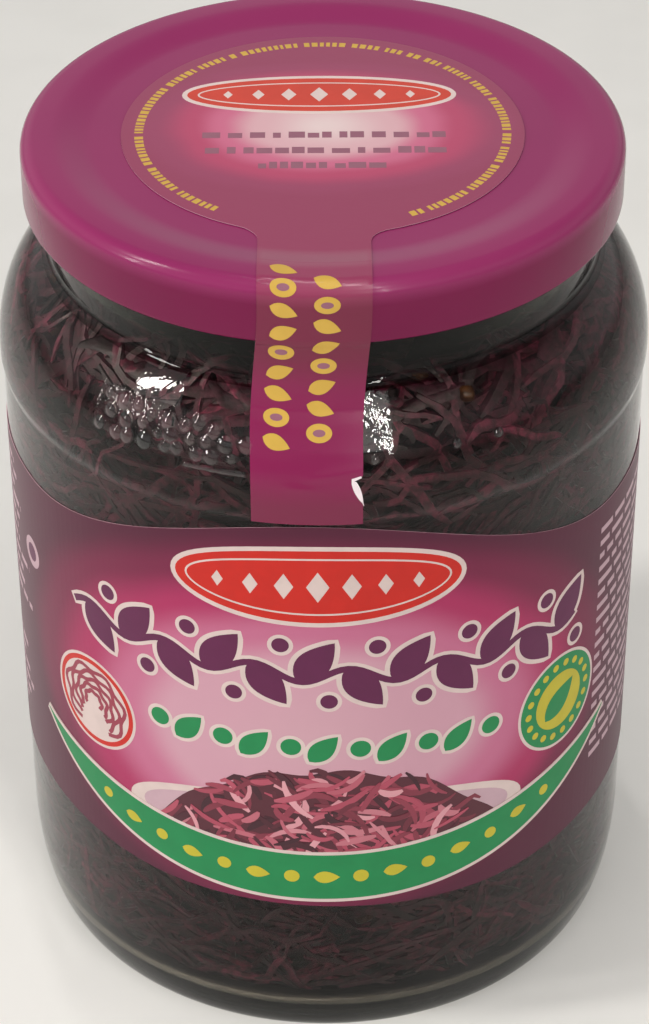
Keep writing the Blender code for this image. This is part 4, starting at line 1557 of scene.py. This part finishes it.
# %% Torn sliver
SLIVER_HALF = 0.42 * MM
sliver_path = []
sliver_halves = []
for share in np.linspace(0.0, 1.0, 12):
    place = TEAR_PLACE + 0.15 * MM + share * TEAR_HEIGHT
    edge = strip_middle(place) + 0.5 * STRIP_WIDTH - tear(place)
    sliver_path.append((edge + 0.1 * MM, -place))
    sliver_halves.append(SLIVER_HALF * math.sin(math.pi * min(share + 0.08, 1.0)) + 0.04 * MM)
sliver = list(reversed(ribbon(sliver_path, sliver_halves)))
torn_white = new_ink("torn_white", "ecd8dc", LID_LIGHT)
print_shapes("torn_sliver", [(sliver, 3 * LAYER)], torn_white, wrap_seal,
             strip_lines_across, strip_lines_up)

# %% [markdown]
# The seal's print: a red oval in the glow, rows of grey dashes under it, a ring of fine yellow
# dashes round the edge that stays open at the front, and two columns of yellow leaves and discs
# down the strip.

# %% Oval and dashes on the seal
RING_RADIUS = 26.0 * MM
RING_HALF = 0.62 * MM
RING_START = 27.0
RING_END = 326.0
# Height and half length of each row of dashes, in mm
SEAL_ROWS = ((-2.0, 17.0), (-6.4, 16.5), (-10.6, 9.0))
seal_layers = {name: [] for name in ("cream", "red", "yellow", "grey")}
add_plaque((-0.5 * MM, 10.6 * MM), (19.0 * MM, 4.9 * MM), 2.1 * MM, seal_layers)


def ring_bar(start, end):
    """A bar of the yellow ring between two angles, counted from the front."""
    corners = ((-RING_HALF, start), (RING_HALF, start), (RING_HALF, end), (-RING_HALF, end))
    bar = []
    for off, angle in corners:
        turn = math.radians(angle)
        bar.append(((RING_RADIUS + off) * math.sin(turn), -(RING_RADIUS + off) * math.cos(turn)))
    return bar


ring_angle = RING_START
while ring_angle < RING_END:
    step = print_draw.uniform(0.9, 2.1)
    seal_layers["yellow"].append((ring_bar(ring_angle, ring_angle + step), LAYER))
    ring_angle += step + (2.2 if print_draw.random() < 0.14 else 0.75)
for low, half in SEAL_ROWS:
    across = -half * MM
    while across < half * MM:
        length = print_draw.uniform(1.0, 2.6) * MM
        height = print_draw.uniform(1.3, 1.9) * MM
        seal_layers["grey"].append((bar_outline(across, low * MM, length, height), LAYER))
        across += length + print_draw.choice((0.4, 0.4, 1.1)) * MM
print("bars in the yellow ring:", len(seal_layers["yellow"]))

# %% Leaves and discs down the strip
STRIP_RISE = 3.5 * LAYER
# Place across, first and last place down the strip in mm, and number of shapes in each column
STRIP_COLUMNS = ((-5.3, 37.5, 68.0, 9), (0.5, 40.0, 66.5, 8))
STRIP_LEAF = 3.9 * MM
STRIP_LEAN = 20.0
for column, first, last, count in STRIP_COLUMNS:
    for index in range(count):
        place = (first + (last - first) * (index + 0.5) / count) * MM
        middle = (strip_middle(place) - STRIP_TOP_X + column * MM, -place)
        if index % 3 == 1:
            seal_layers["yellow"].append((ellipse(middle, (1.75 * MM, 1.3 * MM), 28), STRIP_RISE))
            hole = ellipse(middle, (0.85 * MM, 0.5 * MM), 20)
            seal_layers["grey"].append((hole, STRIP_RISE + LAYER))
        else:
            lean = STRIP_LEAN if index % 2 else -STRIP_LEAN
            back = 1.9 * MM
            base = (middle[0] - back * math.cos(math.radians(lean)),
                    middle[1] - back * math.sin(math.radians(lean)))
            shape = leaf(base, STRIP_LEAF, 2.2 * MM, lean, 10)
            seal_layers["yellow"].append((shape, STRIP_RISE))
print("shapes on the seal:", {name: len(shapes) for name, shapes in seal_layers.items()})

# %% Print every layer of the seal
SEAL_INKS = {"cream": "d4c0bc", "red": "c33f30", "yellow": "c49f45", "grey": "8c5a6c"}
for name, shapes in seal_layers.items():
    ink = new_ink(f"seal_ink_{name}", SEAL_INKS[name], LID_LIGHT)
    print_shapes(f"seal_{name}", shapes, ink, wrap_seal, strip_lines_across,
                 strip_lines_up)
